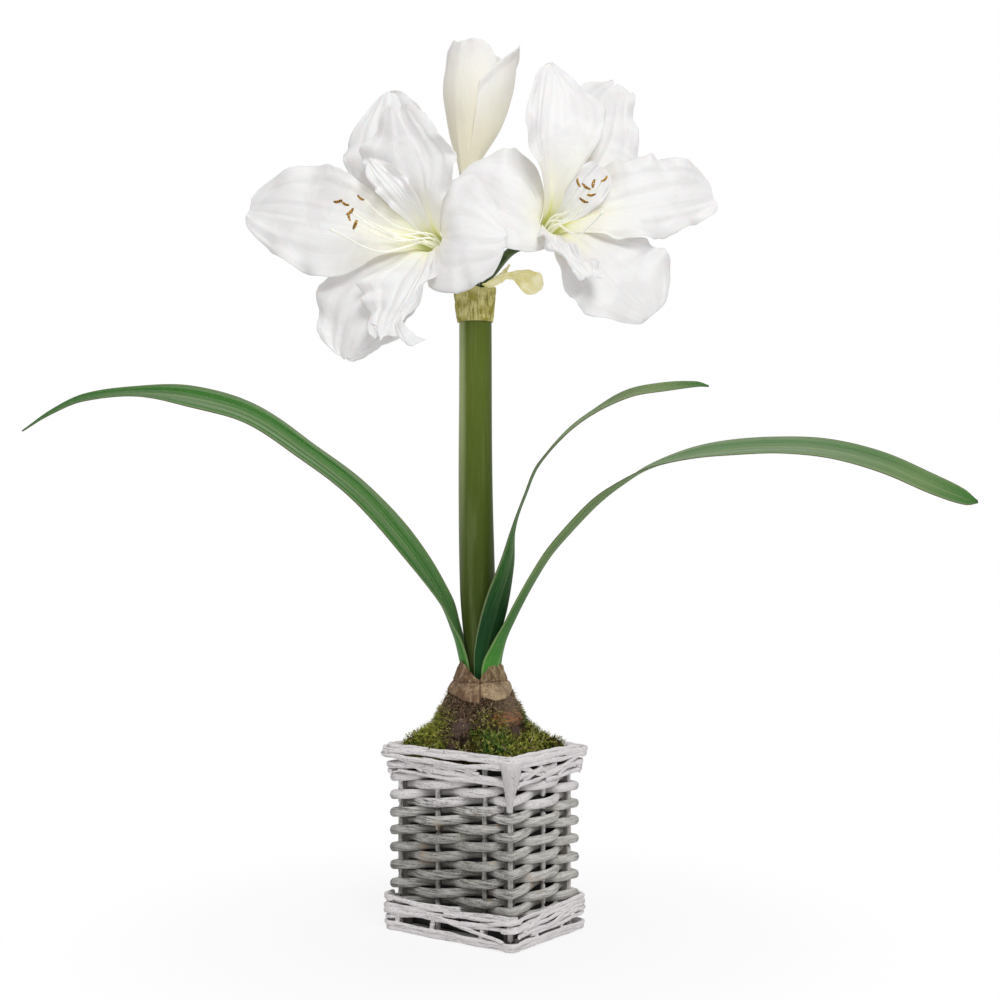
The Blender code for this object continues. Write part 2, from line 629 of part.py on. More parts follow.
def build_stem(collection, plant):
    green = material("scape_green", GREEN, 0.45)
    papery = material("spathe", (0.42, 0.40, 0.15), 0.7)
    yellow = material("spathe_bract", (0.75, 0.68, 0.30), 0.6)
    tube("scape", [Vector(p) for p in SCAPE_LINE], 1.0, green, collection, plant, sides=12,
         radii=SCAPE_RADII)

    top = Vector(SCAPE_LINE[-1])
    inner = SCAPE_RADII[-1] + 2 * GAP
    outer = inner + COLLAR_THICKNESS

    def collar(bm):
        ring = [bm.verts.new((r, 0, z)) for r, z in
                ((outer, top.z), (outer, COLLAR_BOTTOM_Z), (inner, COLLAR_BOTTOM_Z), (inner, top.z))]
        for a, b in zip(ring, ring[1:] + ring[:1]):
            bm.edges.new((a, b))
    obj = add_object("spathe_collar", mesh_from("spathe_collar", collar), papery, collection, plant)
    obj.location = (top.x, top.y, 0)
    screw = obj.modifiers.new("Turn", "SCREW")
    screw.steps = screw.render_steps = 20
    screw.use_merge_vertices = True
    screw.merge_threshold = 0.00001

    for name, points in SPATHE_BRACTS.items():
        rows = smooth_line([(*centre, width, curl) for centre, width, curl in points], 9)
        centres = [Vector(row[:3]) for row in rows]
        first = (centres[0] - top).normalized()
        made = []
        for centre, tangent, (width, curl) in zip(centres, tangents(centres), [r[3:] for r in rows]):
            inward = Vector((-first.x, -first.y, 0.6))
            inward = (inward - tangent * inward.dot(tangent)).normalized()
            made.append((centre, tangent.cross(inward), inward, width / 2, curl))
        ribbon(name, made, 5, COLLAR_THICKNESS, yellow, collection, plant)


def build_pedicel(name, end, facing, mat, collection, plant):
    """A flower's own stalk, from the scape's top to where its tepals are fixed."""
    foot = Vector(PEDICELS[name][0])
    path = [foot, foot + Vector((0, 0, 0.003))] + [Vector(p) for p in PEDICELS[name][1:]]
    rows = [foot] + [Vector(row[:3]) for row in smooth_line([*path[1:], end - facing * 0.0060], 8)]
    rows += [end - facing * 0.0030, end]
    last = len(rows) - 1
    radii = []
    for i in range(last + 1):
        ovary = math.exp(-((i - last + 2.5) / 1.3) ** 2)
        radii.append(PEDICEL_RADIUS + 0.0014 * ovary)
    radii[-1] = RECEPTACLE_RADIUS
    tube(name, rows, 1.0, mat, collection, plant, sides=10, radii=radii)


# ---------------------------------------------------------------- flowers

def flower_frame(flower):
    base, axis = Vector(flower["base"]), Vector(flower["axis"]).normalized()
    up = (Vector((0, 0, 1)) - axis * axis.z).normalized()
    return base, axis, up, up.cross(axis)


def tepal_half_width(t, base_half, widest_half):
    """Half width along a tepal: narrow claw, broad blade, rounded tip."""
    widest = 0.62
    if t < widest:
        return base_half + (widest_half - base_half) * smoothstep(t / widest)
    tip = (t - widest) / (1 - widest)
    return widest_half * max(math.sqrt(max(1 - tip ** 2.3, 0.0)), 0.08)


def trumpet_height(distance, spec):
    """Height along the flower's axis of a tepal's surface at a distance from the axis."""
    if not spec["inner"]:
        distance = distance - WHORL_STEP
    for (r0, z0), (r1, z1) in zip(TRUMPET, TRUMPET[1:]):
        if distance <= r1:
            break
    height = z0 + (z1 - z0) * (distance - r0) / (r1 - r0)
    opened = smoothstep((distance - 0.010) / 0.022)
    if not spec["inner"]:
        height -= OUTER_SETBACK * opened
    blade = (distance - 0.015) / (spec["reach"] - 0.015)
    return height + spec["rise"] * max(blade, 0.0) ** 1.4


def tepal_rows(flower, spec, rows, columns):
    """Points of a tepal's middle surface, from its claw to its tip."""
    base, axis, up, right = flower_frame(flower)
    root = INNER_WHORL_RADIUS + (0.0 if spec["inner"] else WHORL_STEP)
    step = root - INNER_WHORL_RADIUS
    distances = [r + step for r, _ in TRUMPET[:6]]
    left = rows - len(distances)
    last = distances[-1]
    distances += [last + (spec["reach"] - last) * (i + 1) / left for i in range(left)]
    travelled = [0.0]
    for a, b in zip(distances, distances[1:]):
        climb = trumpet_height(b, spec) - trumpet_height(a, spec)
        travelled.append(travelled[-1] + math.hypot(b - a, climb))
    grid = []
    for distance, at in zip(distances, travelled):
        t = at / travelled[-1]
        opened = smoothstep((distance - 0.0095) / 0.020)
        swept = smoothstep((distance - 0.010) / (spec["reach"] - 0.010))
        azimuth = math.radians(spec["azimuth"] + (spec["tip_azimuth"] - spec["azimuth"]) * swept)
        half = tepal_half_width(t, root * 0.86, spec["width"] / 2)
        half = min(half, distance * (0.80 + 0.42 * opened))
        row = []
        for j in range(columns):
            across = (2 * j / (columns - 1) - 1) * half
            turn = (1 - opened) * across / distance + opened * math.atan2(across, distance)
            out = (1 - opened) * distance + opened * math.hypot(distance, across)
            radial = right * math.cos(azimuth + turn) + up * math.sin(azimuth + turn)
            row.append(base + radial * out + axis * trumpet_height(out, spec))
        grid.append(row)
    return grid


def build_stamens(name, flower, mat, collection, plant):
    """Six filaments with their anthers, fused to one ring at the foot, as one solid."""
    base, axis, up, right = flower_frame(flower)
    ring_radius = 0.0024
    bpy.ops.mesh.primitive_torus_add(major_segments=12, minor_segments=6, major_radius=ring_radius,
                                     minor_radius=0.0009)
    ring = bpy.context.object
    ring.location = base + axis * (0.0009 + GAP)
    ring.rotation_mode = "QUATERNION"
    ring.rotation_quaternion = axis.to_track_quat("Z", "Y")
    bpy.context.view_layer.update()
    pieces = [ring]
    ends = [Vector(anther) for anther in flower["anthers"]]
    middle = sum(ends, Vector()) / len(ends)

    def from_below(end):
        return math.atan2((end - middle).dot(right), -(end - middle).dot(up)) % math.tau

    ends.sort(key=from_below)
    for number, end in enumerate(ends):
        angle = math.tau * (number + 0.5) / 6 - math.pi / 2
        around = right * math.cos(angle) + up * math.sin(angle)
        foot = base + axis * 0.0010 + around * ring_radius
        out = base + axis * 0.026 + around * 0.0040
        sag = (out + end) / 2 - Vector((0, 0, 0.006))
        line = [Vector(row[:3]) for row in smooth_line([foot, out, sag, end], 7)]
        pieces.append(tube(f"filament_{number}", line, FILAMENT_RADIUS, None, collection, sides=4))
        bpy.ops.mesh.primitive_uv_sphere_add(segments=6, ring_count=5, radius=0.5)
        pod = bpy.context.object
        pod.scale = (0.0021, 0.0021, ANTHER_LENGTH)
        pod.location = end
        pod.rotation_mode = "QUATERNION"
        lean = (axis.cross(around) * 0.7 + up * 0.5 + right * 0.4).normalized()
        pod.rotation_quaternion = lean.to_track_quat("Z", "Y")
        bpy.context.view_layer.update()
        pieces.append(pod)
    joined(name, pieces, mat, collection).parent = plant


def build_flower(prefix, flower, pedicel, mats, collection, plant):
    base, axis, up, right = flower_frame(flower)
    for side, spec in flower["tepals"].items():
        sheet(f"{prefix}_tepal_{side}", tepal_rows(flower, spec, 11, 9), TEPAL_THICKNESS,
              mats["white"], collection, plant)
    build_stamens(f"{prefix}_stamens", flower, mats["pollen"], collection, plant)
    end = Vector(flower["stigma"])
    out = base + axis * 0.026 - up * 0.0020
    sag = (out + end) / 2 - Vector((0, 0, 0.0110))
    line = [Vector(row[:3]) for row in smooth_line([base + axis * GAP, out, sag, end], 10)]
    tube(f"{prefix}_style", line, 0.0007, mats["white"], collection, plant, sides=6)
    build_pedicel(pedicel, base, axis, mats["stalk"], collection, plant)


def build_bud(mats, collection, plant):
    base, tip = Vector(BUD["base"]), Vector(BUD["tip"])
    axis = (tip - base).normalized()
    length = (tip - base).length
    back = axis.cross(Vector((1, 0, 0))).normalized()
    right = back.cross(axis).normalized()

    def belly(t):
        return 0.0090 + (BUD["radius"] - 0.0090) * math.sin(min(t / 0.72, 1.0) * math.pi / 2) ** 1.5

    for side, (azimuth, spread, inset) in BUD_SEPALS.items():
        angle = math.radians(azimuth)
        outward = right * math.cos(angle) + back * math.sin(angle)
        made = []
        count = 11
        for i in range(count):
            t = i / (count - 1)
            radius = belly(t) - inset
            reach = math.radians(spread) * math.sqrt(max(1 - max(t - 0.62, 0) / 0.38, 0.003))
            centre = base + axis * (length * t) + outward * radius
            made.append((centre, axis.cross(outward), -outward, radius * reach, 1 / radius))
        ribbon(f"bud_sepal_{side}", made, 9, TEPAL_THICKNESS, mats["cream"], collection, plant)

    def roll(bm):
        sides, rows = 12, []
        count = 8
        for i in range(count):
            t = 0.01 + 0.97 * i / (count - 1)
            radius = (belly(t) - BUD_ROLL_INSET) * (1 - 0.8 * smoothstep((t - 0.72) / 0.28))
            middle = base + axis * (length * t)
            rows.append([bm.verts.new(middle + (right * math.cos(a) + back * math.sin(a)) * radius)
                         for a in (math.tau * j / sides for j in range(sides))])
        for lower, upper in zip(rows, rows[1:]):
            for j in range(sides):
                k = (j + 1) % sides
                bm.faces.new((lower[j], lower[k], upper[k], upper[j]))
        bm.faces.new(rows[0][::-1])
        bm.faces.new(rows[-1])
        bmesh.ops.recalc_face_normals(bm, faces=bm.faces)
    add_object("bud_petal_roll", mesh_from("bud_petal_roll", roll), mats["cream"], collection, plant)
    build_pedicel("pedicel_bud", base, axis, mats["stalk"], collection, plant)


def main():
    clear_scene()
    collection = new_collection("potted_amaryllis")
    helpers = new_collection("helpers")
    helpers.hide_render = True
    frame = build_basket(collection, helpers)
    plant = bpy.data.objects.new("plant_axis", None)
    collection.objects.link(plant)
    plant.location = PLANT_PLACE
    bpy.context.view_layer.update()
    build_filling(collection, helpers, frame)
    build_bulb(collection, plant)
    leaf_green = material("leaf_green", DARK_GREEN, 0.4)
    build_leaf("leaf_left", LEAF_LEFT, -1, leaf_green, collection, plant)
    build_leaf("leaf_middle", LEAF_MIDDLE, 1, leaf_green, collection, plant)
    build_leaf("leaf_right", LEAF_RIGHT, 1, leaf_green, collection, plant)
    build_stem(collection, plant)
    mats = {
        "white": material("tepal_white", WHITE, 0.5),
        "cream": material("bud_cream", (0.85, 0.84, 0.70), 0.5),
        "stalk": material("pedicel_green", DARK_GREEN, 0.45),
        "pollen": material("stamen", (0.78, 0.62, 0.30), 0.7),
    }
    build_flower("flower_left", LEFT_FLOWER, "pedicel_left", mats, collection, plant)
    build_flower("flower_right", RIGHT_FLOWER, "pedicel_right", mats, collection, plant)
    build_bud(mats, collection, plant)


main()
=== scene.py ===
import math
import random

import bpy
import numpy as np
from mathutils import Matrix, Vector, noise


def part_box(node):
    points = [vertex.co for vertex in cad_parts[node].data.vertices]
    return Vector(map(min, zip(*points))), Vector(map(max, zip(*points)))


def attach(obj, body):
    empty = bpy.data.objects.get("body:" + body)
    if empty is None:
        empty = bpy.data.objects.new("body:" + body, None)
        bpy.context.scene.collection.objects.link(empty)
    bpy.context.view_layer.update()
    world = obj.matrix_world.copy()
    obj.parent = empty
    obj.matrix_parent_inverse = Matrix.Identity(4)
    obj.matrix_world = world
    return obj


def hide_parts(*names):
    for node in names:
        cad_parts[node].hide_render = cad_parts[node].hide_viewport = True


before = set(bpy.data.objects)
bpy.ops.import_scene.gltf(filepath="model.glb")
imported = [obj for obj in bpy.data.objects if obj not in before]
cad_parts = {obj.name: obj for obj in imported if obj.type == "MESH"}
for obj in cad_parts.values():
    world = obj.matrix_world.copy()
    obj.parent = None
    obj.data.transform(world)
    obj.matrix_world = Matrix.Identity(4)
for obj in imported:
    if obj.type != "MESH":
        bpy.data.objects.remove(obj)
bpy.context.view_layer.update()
print("frame loaded")

body = "root"


def middleOf(node):
    low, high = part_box(node)
    return (low + high) / 2


# Everything green is measured from the foot of the flower stem.
bulbMiddle = middleOf("bulb")
plant = np.array(Vector((bulbMiddle.x - 0.0014, bulbMiddle.y, 0)))


def fromStem(points):  # millimetres from the stem's foot become metres
    return np.array(points) / 1000 + plant


class Wire:  # a node's output that reads as a number in Python sums
    def __init__(self, graph, socket):
        self.graph, self.socket = graph, socket

    def sum(self, operation, *terms):
        return self.graph.node("ShaderNodeMath", dict(enumerate(terms)), operation=operation)

    def __add__(self, other):
        return self.sum("ADD", self, other)

    def __sub__(self, other):
        return self.sum("SUBTRACT", self, other)

    def __rsub__(self, other):
        return self.sum("SUBTRACT", other, self)

    def __mul__(self, other):
        return self.sum("MULTIPLY", self, other)

    __radd__ = __add__
    __rmul__ = __mul__

    def size(self):
        return self.sum("ABSOLUTE", self)

    def wave(self):
        return self.sum("SINE", self)

    def most(self, other):
        return self.sum("MAXIMUM", self, other)

    def rise(self, low, high):  # 0 below low, 1 above high, smooth between; falls where high < low
        if high < low:
            return 1 - self.rise(high, low)
        return self.graph.node("ShaderNodeMapRange", {"Value": self, "From Min": low, "From Max": high},
                               interpolation_type="SMOOTHSTEP")

    def out(self, name):  # another output of the same node
        return Wire(self.graph, self.socket.node.outputs[name])


class Graph:  # a node tree of any kind
    def __init__(self, tree):
        self.tree = tree

    def plug(self, value, socket):
        if isinstance(value, Wire):
            self.tree.links.new(value.socket, socket)
        else:
            socket.default_value = value

    def node(self, kind, values=None, output=0, **settings):
        made = self.tree.nodes.new(kind)
        for key, value in settings.items():
            setattr(made, key, value)
        for key, value in (values or {}).items():
            if isinstance(key, str):
                key = next(i for i, s in enumerate(made.inputs) if key in (s.identifier, s.name))
            self.plug(value, made.inputs[key])
        if isinstance(output, str):
            output = next(i for i, s in enumerate(made.outputs) if output in (s.identifier, s.name))
        return Wire(self, made.outputs[output])

    def vector(self, x, y, z):
        return self.node("ShaderNodeCombineXYZ", {0: x, 1: y, 2: z})

    def axes(self, vector):  # its three numbers
        x = self.node("ShaderNodeSeparateXYZ", {0: vector})
        return x, x.out("Y"), x.out("Z")

    def noise(self, vector, scale, detail=3.0, roughness=0.55, distortion=0.0):
        return self.node("ShaderNodeTexNoise", {
            "Vector": vector, "Scale": scale, "Detail": detail, "Roughness": roughness,
            "Distortion": distortion})

    def rays(self):  # 1 for what the camera, a gloss or a clear piece sees
        camera = self.node("ShaderNodeLightPath", output="Is Camera Ray")
        return camera.most(camera.out("Is Glossy Ray")).most(camera.out("Is Transmission Ray"))


def paint(red, green, blue):  # a colour as it looks on a screen, 0 to 255
    def linear(value):
        value = value / 255
        return value / 12.92 if value <= 0.04045 else ((value + 0.055) / 1.055) ** 2.4
    return (linear(red), linear(green), linear(blue), 1.0)


class Finish(Graph):  # a material around one Principled shader, with named paints
    def __init__(self, name, look=None, **fixed):
        self.material = bpy.data.materials.new(name)
        self.material.use_nodes = True
        super().__init__(self.material.node_tree)
        self.look = {key: paint(*colour) for key, colour in (look or {}).items()}
        self.shader = self.tree.nodes["Principled BSDF"]
        self.feed(**fixed)

    def place(self):
        return self.node("ShaderNodeTexCoord", output="Object")

    def along(self):  # u across a piece, v along it
        return self.axes(self.node("ShaderNodeUVMap", uv_map="UVMap"))[:2]

    def number(self, name):
        return self.node("ShaderNodeAttribute", output="Fac", attribute_name=name)

    def streaks(self, tall, *rest):  # noise that runs up and down a piece; tall above 1 lays it flat
        return self.noise(self.node("ShaderNodeVectorMath", {0: self.place(), 1: (1.0, 1.0, tall)},
                                    operation="MULTIPLY"), *rest)

    def coats(self, colour, *over):  # each coat shows by its own share
        for share, coat in over:
            under, coat = (self.look[c] if isinstance(c, str) else c for c in (colour, coat))
            colour = self.node("ShaderNodeMix", {
                "Factor_Float": share, "A_Color": under, "B_Color": coat},
                "Result_Color", data_type="RGBA")
        return colour

    def feed(self, **values):
        for key, value in values.items():
            self.plug(value, self.shader.inputs[key.replace("_", " ")])

    def bump(self, height, distance):
        self.feed(Normal=self.node("ShaderNodeBump", {
            "Height": height, "Distance": distance, "Strength": 1.0}))


class Recipe(Graph):  # a Geometry Nodes tree with named inputs
    def __init__(self, name, **inputs):
        super().__init__(bpy.data.node_groups.new(name, "GeometryNodeTree"))
        face = self.tree.interface
        face.new_socket("Geometry", in_out="INPUT", socket_type="NodeSocketGeometry")
        face.new_socket("Geometry", in_out="OUTPUT", socket_type="NodeSocketGeometry")
        self.labels = {}
        for label, kind in {**inputs, "Material": "Material"}.items():
            socket = face.new_socket(label, in_out="INPUT", socket_type="NodeSocket" + kind)
            self.labels[label] = socket.identifier
        self.start = self.tree.nodes.new("NodeGroupInput")

    def given(self, label):
        return Wire(self, self.start.outputs[label])

    def named(self, name):
        return self.node("GeometryNodeInputNamedAttribute", {"Name": name}, "Attribute",
                         data_type="FLOAT")

    def store(self, geometry, name, value, domain="POINT"):
        return self.node("GeometryNodeStoreNamedAttribute", {
            "Geometry": geometry, "Name": name, "Value": value}, data_type="FLOAT", domain=domain)

    def end(self, geometry):
        real = self.node("GeometryNodeRealizeInstances", {0: geometry})
        coated = self.node("GeometryNodeSetMaterial", {0: real, "Material": self.given("Material")})
        self.plug(coated, self.tree.nodes.new("NodeGroupOutput").inputs[0])

    def grow(self, name, mesh, **values):  # runs the tree on a mesh and keeps a plain mesh
        holder = addObject(name + "_source", mesh)
        modifier = holder.modifiers.new("recipe", "NODES")
        modifier.node_group = self.tree
        for label, value in values.items():
            modifier[self.labels[label]] = value
        graph = bpy.context.evaluated_depsgraph_get()
        result = bpy.data.meshes.new_from_object(holder.evaluated_get(graph), depsgraph=graph)
        holder.modifiers.clear()
        bpy.data.objects.remove(holder, do_unlink=True)
        result.name = name
        return addObject(name, result)


def addObject(name, data):
    made = bpy.data.objects.new(name, data)
    bpy.context.scene.collection.objects.link(made)
    return made


def lump(x, y, z):  # smooth noise, about -1 to 1
    return noise.noise(Vector((x, y, z)))


lumps = np.vectorize(lump)  # the same for whole arrays


def smoothstep(x):
    x = np.clip(x, 0.0, 1.0)
    return x * x * (3 - 2 * x)


def smoothLine(points, count):
    # evenly spaced rows on a smooth curve through the points; columns past the third ride along
    points = np.array(points, float)
    last = len(points) - 1
    steps = np.linalg.norm(np.diff(points[:, :3], axis=0), axis=1)
    knots = np.concatenate(([0.0], np.cumsum(steps)))
    behind, ahead = np.maximum(np.arange(last + 1) - 1, 0), np.minimum(np.arange(last + 1) + 1, last)
    slopes = (points[ahead] - points[behind]) / (knots[ahead] - knots[behind])[:, None]
    at = np.linspace(0.0, knots[-1], count)
    i = np.clip(np.searchsorted(knots, at, side="right") - 1, 0, last - 1)
    span = (knots[i + 1] - knots[i])[:, None]
    u = (at - knots[i])[:, None] / span
    return ((2 * u ** 3 - 3 * u ** 2 + 1) * points[i] + (u ** 3 - 2 * u ** 2 + u) * span * slopes[i]
            + (3 * u ** 2 - 2 * u ** 3) * points[i + 1] + (u ** 3 - u ** 2) * span * slopes[i + 1])


def eased(line, times):  # evens out neighbouring values
    for _ in range(times):
        line[1:-1] = (line[:-2] + 2 * line[1:-1] + line[2:]) / 4
    return line


def unit(vectors):
    vectors = np.asarray(vectors, float)
    return vectors / np.maximum(np.linalg.norm(vectors, axis=-1, keepdims=True), 1e-12)


def directions(line):
    return unit(np.gradient(line, axis=0))


def circle(count):
    return math.tau * np.arange(count) / count


def gridOf(rows, columns):  # how far along each row lies, 0 to 1, and across each column, -1 to 1
    return np.linspace(0, 1, rows)[:, None], np.linspace(-1, 1, columns)


def around(middles, side, other, turns, radii):  # turned from one direction towards another
    turns, radii = np.asarray(turns)[..., None], np.asarray(radii)[..., None]
    return middles + (side * np.cos(turns) + other * np.sin(turns)) * radii


def placesOf(mesh):
    places = np.empty(len(mesh.vertices) * 3)
    mesh.vertices.foreach_get("co", places)
    return places.reshape(-1, 3)


def mark(mesh, **numbers):  # puts a number on each vertex
    for label, values in numbers.items():
        column = mesh.attributes.get(label) or mesh.attributes.new(label, "FLOAT", "POINT")
        every = np.ones(len(mesh.vertices), np.float32)
        column.data.foreach_set("value", every * np.ravel(np.float32(values)))
    return mesh


def plainMesh(name, verts, edges, faces):
    mesh = bpy.data.meshes.new(name)
    mesh.from_pydata(np.reshape(verts, (-1, 3)).tolist(), edges, faces)
    return mesh


def meshPiece(name, verts, faces, finish, uvs=None, **numbers):
    mesh = plainMesh(name, verts, [], faces)
    layer = mesh.uv_layers.new(name="UVMap")
    uvs = np.zeros((len(mesh.vertices), 2)) if uvs is None else np.reshape(uvs, (-1, 2))
    corners = np.empty(len(mesh.loops), int)
    mesh.loops.foreach_get("vertex_index", corners)
    layer.data.foreach_set("uv", uvs[corners].astype(np.float32).ravel())
    mark(mesh, **numbers)
    mesh.shade_smooth()
    mesh.materials.append(finish.material)
    return addObject(name, mesh)


def strips(rows, columns, offset=0, ring=False):
    # quads between neighbouring rows of a grid; ring closes each row
    faces = []
    for r in range(rows - 1):
        for c in range(columns if ring else columns - 1):
            d = (c + 1) % columns
            faces.append([offset + corner for corner in (r * columns + c, r * columns + d,
                                                         (r + 1) * columns + d, (r + 1) * columns + c)])
    return faces


def tube(rows, sides):  # rings joined and closed at both ends
    ends = [list(range(sides))[::-1], [(rows - 1) * sides + c for c in range(sides)]]
    return strips(rows, sides, ring=True) + ends


def blade(name, grid, thickness, finish, edge=0.25, **numbers):
    # a thin closed sheet around a grid of points; it thins towards its edges
    rows, columns = grid.shape[:2]
    normals = unit(np.cross(np.gradient(grid, axis=1), np.gradient(grid, axis=0)))
    across = np.abs(np.linspace(-1, 1, columns))[None, :]
    ends = np.abs(np.linspace(-1, 1, rows))[:, None]
    thin = edge + (1 - edge) * np.sqrt(np.clip((1 - across ** 8) * (1 - ends ** 16), 0, 1))
    half = (thickness / 2 * thin)[..., None]
    verts = np.concatenate((grid + normals * half, grid - normals * half))
    uv = np.stack(np.meshgrid(np.linspace(0, 1, columns), np.linspace(0, 1, rows)), axis=-1)
    size = rows * columns
    faces = strips(rows, columns) + [f[::-1] for f in strips(rows, columns, size)]
    order = np.arange(size).reshape(rows, columns)
    ring = [*order[0], *order[1:, -1], *order[-1, -2::-1], *order[-2:0:-1, 0]]
    faces += [[int(a), int(a) + size, int(b) + size, int(b)] for a, b in zip(ring, ring[1:] + ring[:1])]
    both = {label: np.tile(np.broadcast_to(values, (rows, columns)).ravel(), 2)
            for label, values in numbers.items()}
    side = np.repeat((1.0, 0.0), size)
    return meshPiece(name, verts, faces, finish, np.concatenate((uv, uv)), side=side, **both)


def rod(name, line, radii, sides, finish, flutes=0, fluteDepth=0.0):
    # a round rod with closed ends along a line
    line, radii = np.asarray(line, float), np.broadcast_to(radii, len(line)).astype(float)
    line = np.concatenate((line[:1], line, line[-1:]))
    radii = np.concatenate(([0.0], radii, [0.0]))
    heading = directions(line)
    heading[0], heading[-1] = heading[1], heading[-2]
    side = unit(np.cross(heading[0], (0.13, 0.97, 0.21)))
    angles = circle(sides)
    lobed = 1 + fluteDepth * np.cos(angles * flutes)
    rings = []
    for place, forward, radius in zip(line, heading, radii):
        side = unit(side - forward * np.dot(side, forward))
        rings.append(around(place, side, np.cross(forward, side), angles, radius * lobed))
    count = len(line) - 2
    verts = np.concatenate((line[:1], *rings[1:-1], line[-1:]))
    faces = strips(count, sides, 1, ring=True)
    last = 1 + count * sides
    for c in range(sides):
        d = (c + 1) % sides
        faces += [(0, 1 + d, 1 + c), (last, last - sides + c, last - sides + d)]
    uv = [(c / sides, v) for v in np.linspace(0, 1, count) for c in range(sides)]
    return meshPiece(name, verts, faces, finish, [(0.5, 0.0), *uv, (0.5, 1.0)])


def dress(piece, slot, *nodes):  # a piece rides and stands for its CAD nodes
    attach(piece, body)
    if nodes:
        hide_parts(*nodes)


def joinPieces(name, pieces):
    bpy.ops.object.select_all(action="DESELECT")
    for piece in pieces:
        piece.select_set(True)
    bpy.context.view_layer.objects.active = pieces[0]
    bpy.ops.object.join()
    pieces[0].name = pieces[0].data.name = name
    return pieces[0]


def willowFinish():
    # weathered willow: grey wood, whitewash where "wash" is high, lengthwise grain; painted shade where
    # rods pass behind stakes and painted light on the right wall
    finish = Finish("weatheredWillow", {
        "wood": (232, 230, 226), "dark": (92, 90, 86), "tan": (196, 164, 128), "green": (150, 152, 122),
        "wash": (244, 239, 240), "speck": (226, 223, 216), "dirt": (126, 119, 117),
        "grimeAndShade": (58, 53, 46), "low": (84, 82, 72)}, Roughness=0.85)
    place = finish.place()
    x, _, z = finish.axes(place)
    along, tone, wash, recess, upright, calm = (
        finish.number(name) for name in ("along", "tone", "wash", "recess", "upright", "calm"))
    cross = z * (1 - upright) + x * upright
    grain = finish.noise(finish.vector(along * 70, cross * 800 + tone * 40, tone * 31), 1.0, 5, 0.68)
    patch = finish.noise(place, 48, 3, 0.55)
    flecks = finish.noise(place, 560, 4, 0.7)
    blots = finish.noise(place, 190, 5, 0.65)
    right = x.rise(0.014, 0.028)  # painted light: the right wall is painted lighter, as if lit from the right
    wood = finish.coats("dark", (grain.rise(0.34, 0.64), "wood"),
                        (tone.rise(0.3, 1.0) * 0.25, "speck"),
                        # darker towards the bottom, less so on the right wall
                        (z.rise(0.096, 0.070) * (0.42 - right * 0.30), "low"),
                        # painted light on the right wall
                        (right * 0.34, "speck"),
                        (patch.rise(0.60, 0.70) * (1 - wash) * 0.50, "tan"),
                        (patch.rise(0.40, 0.31) * (1 - wash) * 0.30, "green"),
                        (flecks.rise(0.54, 0.66) * 0.45, "speck"))
    cover = (wash * 1.3 - 0.25 + (blots - 0.5) * 1.5 + (grain - 0.5) * 0.9).rise(0.20, 0.62)
    paintwork = finish.coats("wash", (grain.rise(0.48, 0.36) * (0.56 - calm * 0.44), "dirt"),
                             (flecks.rise(0.44, 0.34) * 0.40, "dirt"))
    colour = finish.coats(wood, (cover * (0.5 + wash * 0.45), paintwork),
                          # painted light: more whitewash shows on the right wall
                          (right * wash * 0.5, "wash"),
                          # grime in random blots
                          (blots.rise(0.40, 0.33) * flecks.rise(0.50, 0.42) * 0.55, "grimeAndShade"),
                          # painted shade: darker where a rod passes behind a stake and on the dark posts
                          # behind the corners
                          (recess * 0.85, "grimeAndShade"))
    finish.feed(Base_Color=colour, Roughness=0.78 + grain * 0.15)
    finish.bump(grain * 0.9 + flecks * 0.35 + blots * 0.6 + cover * 0.25, 0.0009)
    return finish


def plainFinish(name, low, high, scale, roughness, depth):
    finish = Finish(name, {"low": low, "high": high})
    speckle = finish.noise(finish.place(), scale, 4, 0.6)
    finish.feed(Base_Color=finish.coats("low", (speckle.rise(0.35, 0.65), "high")),
                Roughness=roughness + speckle * 0.1)
    finish.bump(speckle, depth)
    return finish


def mossFinish():
    finish = Finish("moss", {
        "dark": (26, 29, 10), "olive": (90, 104, 30), "lime": (188, 196, 88), "cool": (54, 116, 52),
        "brown": (96, 68, 40), "straw": (226, 214, 166), "thread": (160, 134, 108),
        "bright": (214, 210, 112)}, Roughness=0.9, Specular_IOR_Level=0.05)
    place = finish.place()
    x, _, z = finish.axes(place)
    tone, tip = finish.number("tone"), finish.number("tip")
    clump, patch, grain = (finish.noise(place, scale, 2, 0.5) for scale in (46, 90, 420))
    flick = (tone * 190).wave()  # sprig by sprig light and dark
    middle = (x + 0.015).size().rise(0.018, 0.006) * (1 - tip * 0.4)
    lush = x.rise(-0.012, -0.004) * x.rise(0.024, 0.012) * z.rise(0.151, 0.145)
    finish.feed(Base_Color=finish.coats(
        # painted shade: each sprig darkens towards its foot
        "dark", (tip.rise(0.15, 0.95), "olive"),
        # painted highlights: small bright speckles
        (grain.rise(0.50, 0.58) * 0.55, "lime"),
        (clump.rise(0.47, 0.58) * tip * 0.9, "lime"),
        (clump.rise(0.46, 0.38) * tip, "cool"),
        (patch.rise(0.54, 0.62) * tone.rise(0.25, 0.35), "brown"),
        (tone.rise(0.70, 0.73), "brown"),
        (lush * patch.rise(0.36, 0.50) * (0.3 + tip * 0.5), "cool"),
        (middle * clump.rise(0.42, 0.54) * 0.75, "brown"),
        # painted shade: small dark speckles, like gaps between sprigs
        (grain.rise(0.48, 0.40) * 0.75, "dark"),
        (flick.rise(0.0, -0.6) * 0.70, "dark"),
        (flick.rise(0.76, 0.94) * tip.rise(0.2, 0.7) * 0.9, "bright"),
        (flick.rise(0.90, 0.97) * middle, "straw"),
        (x.rise(-0.014, -0.034) * tip * 0.45, "lime"),
        (tone.rise(0.80, 0.82), "thread"),
        (tone.rise(0.91, 0.92), "straw")))
    return finish


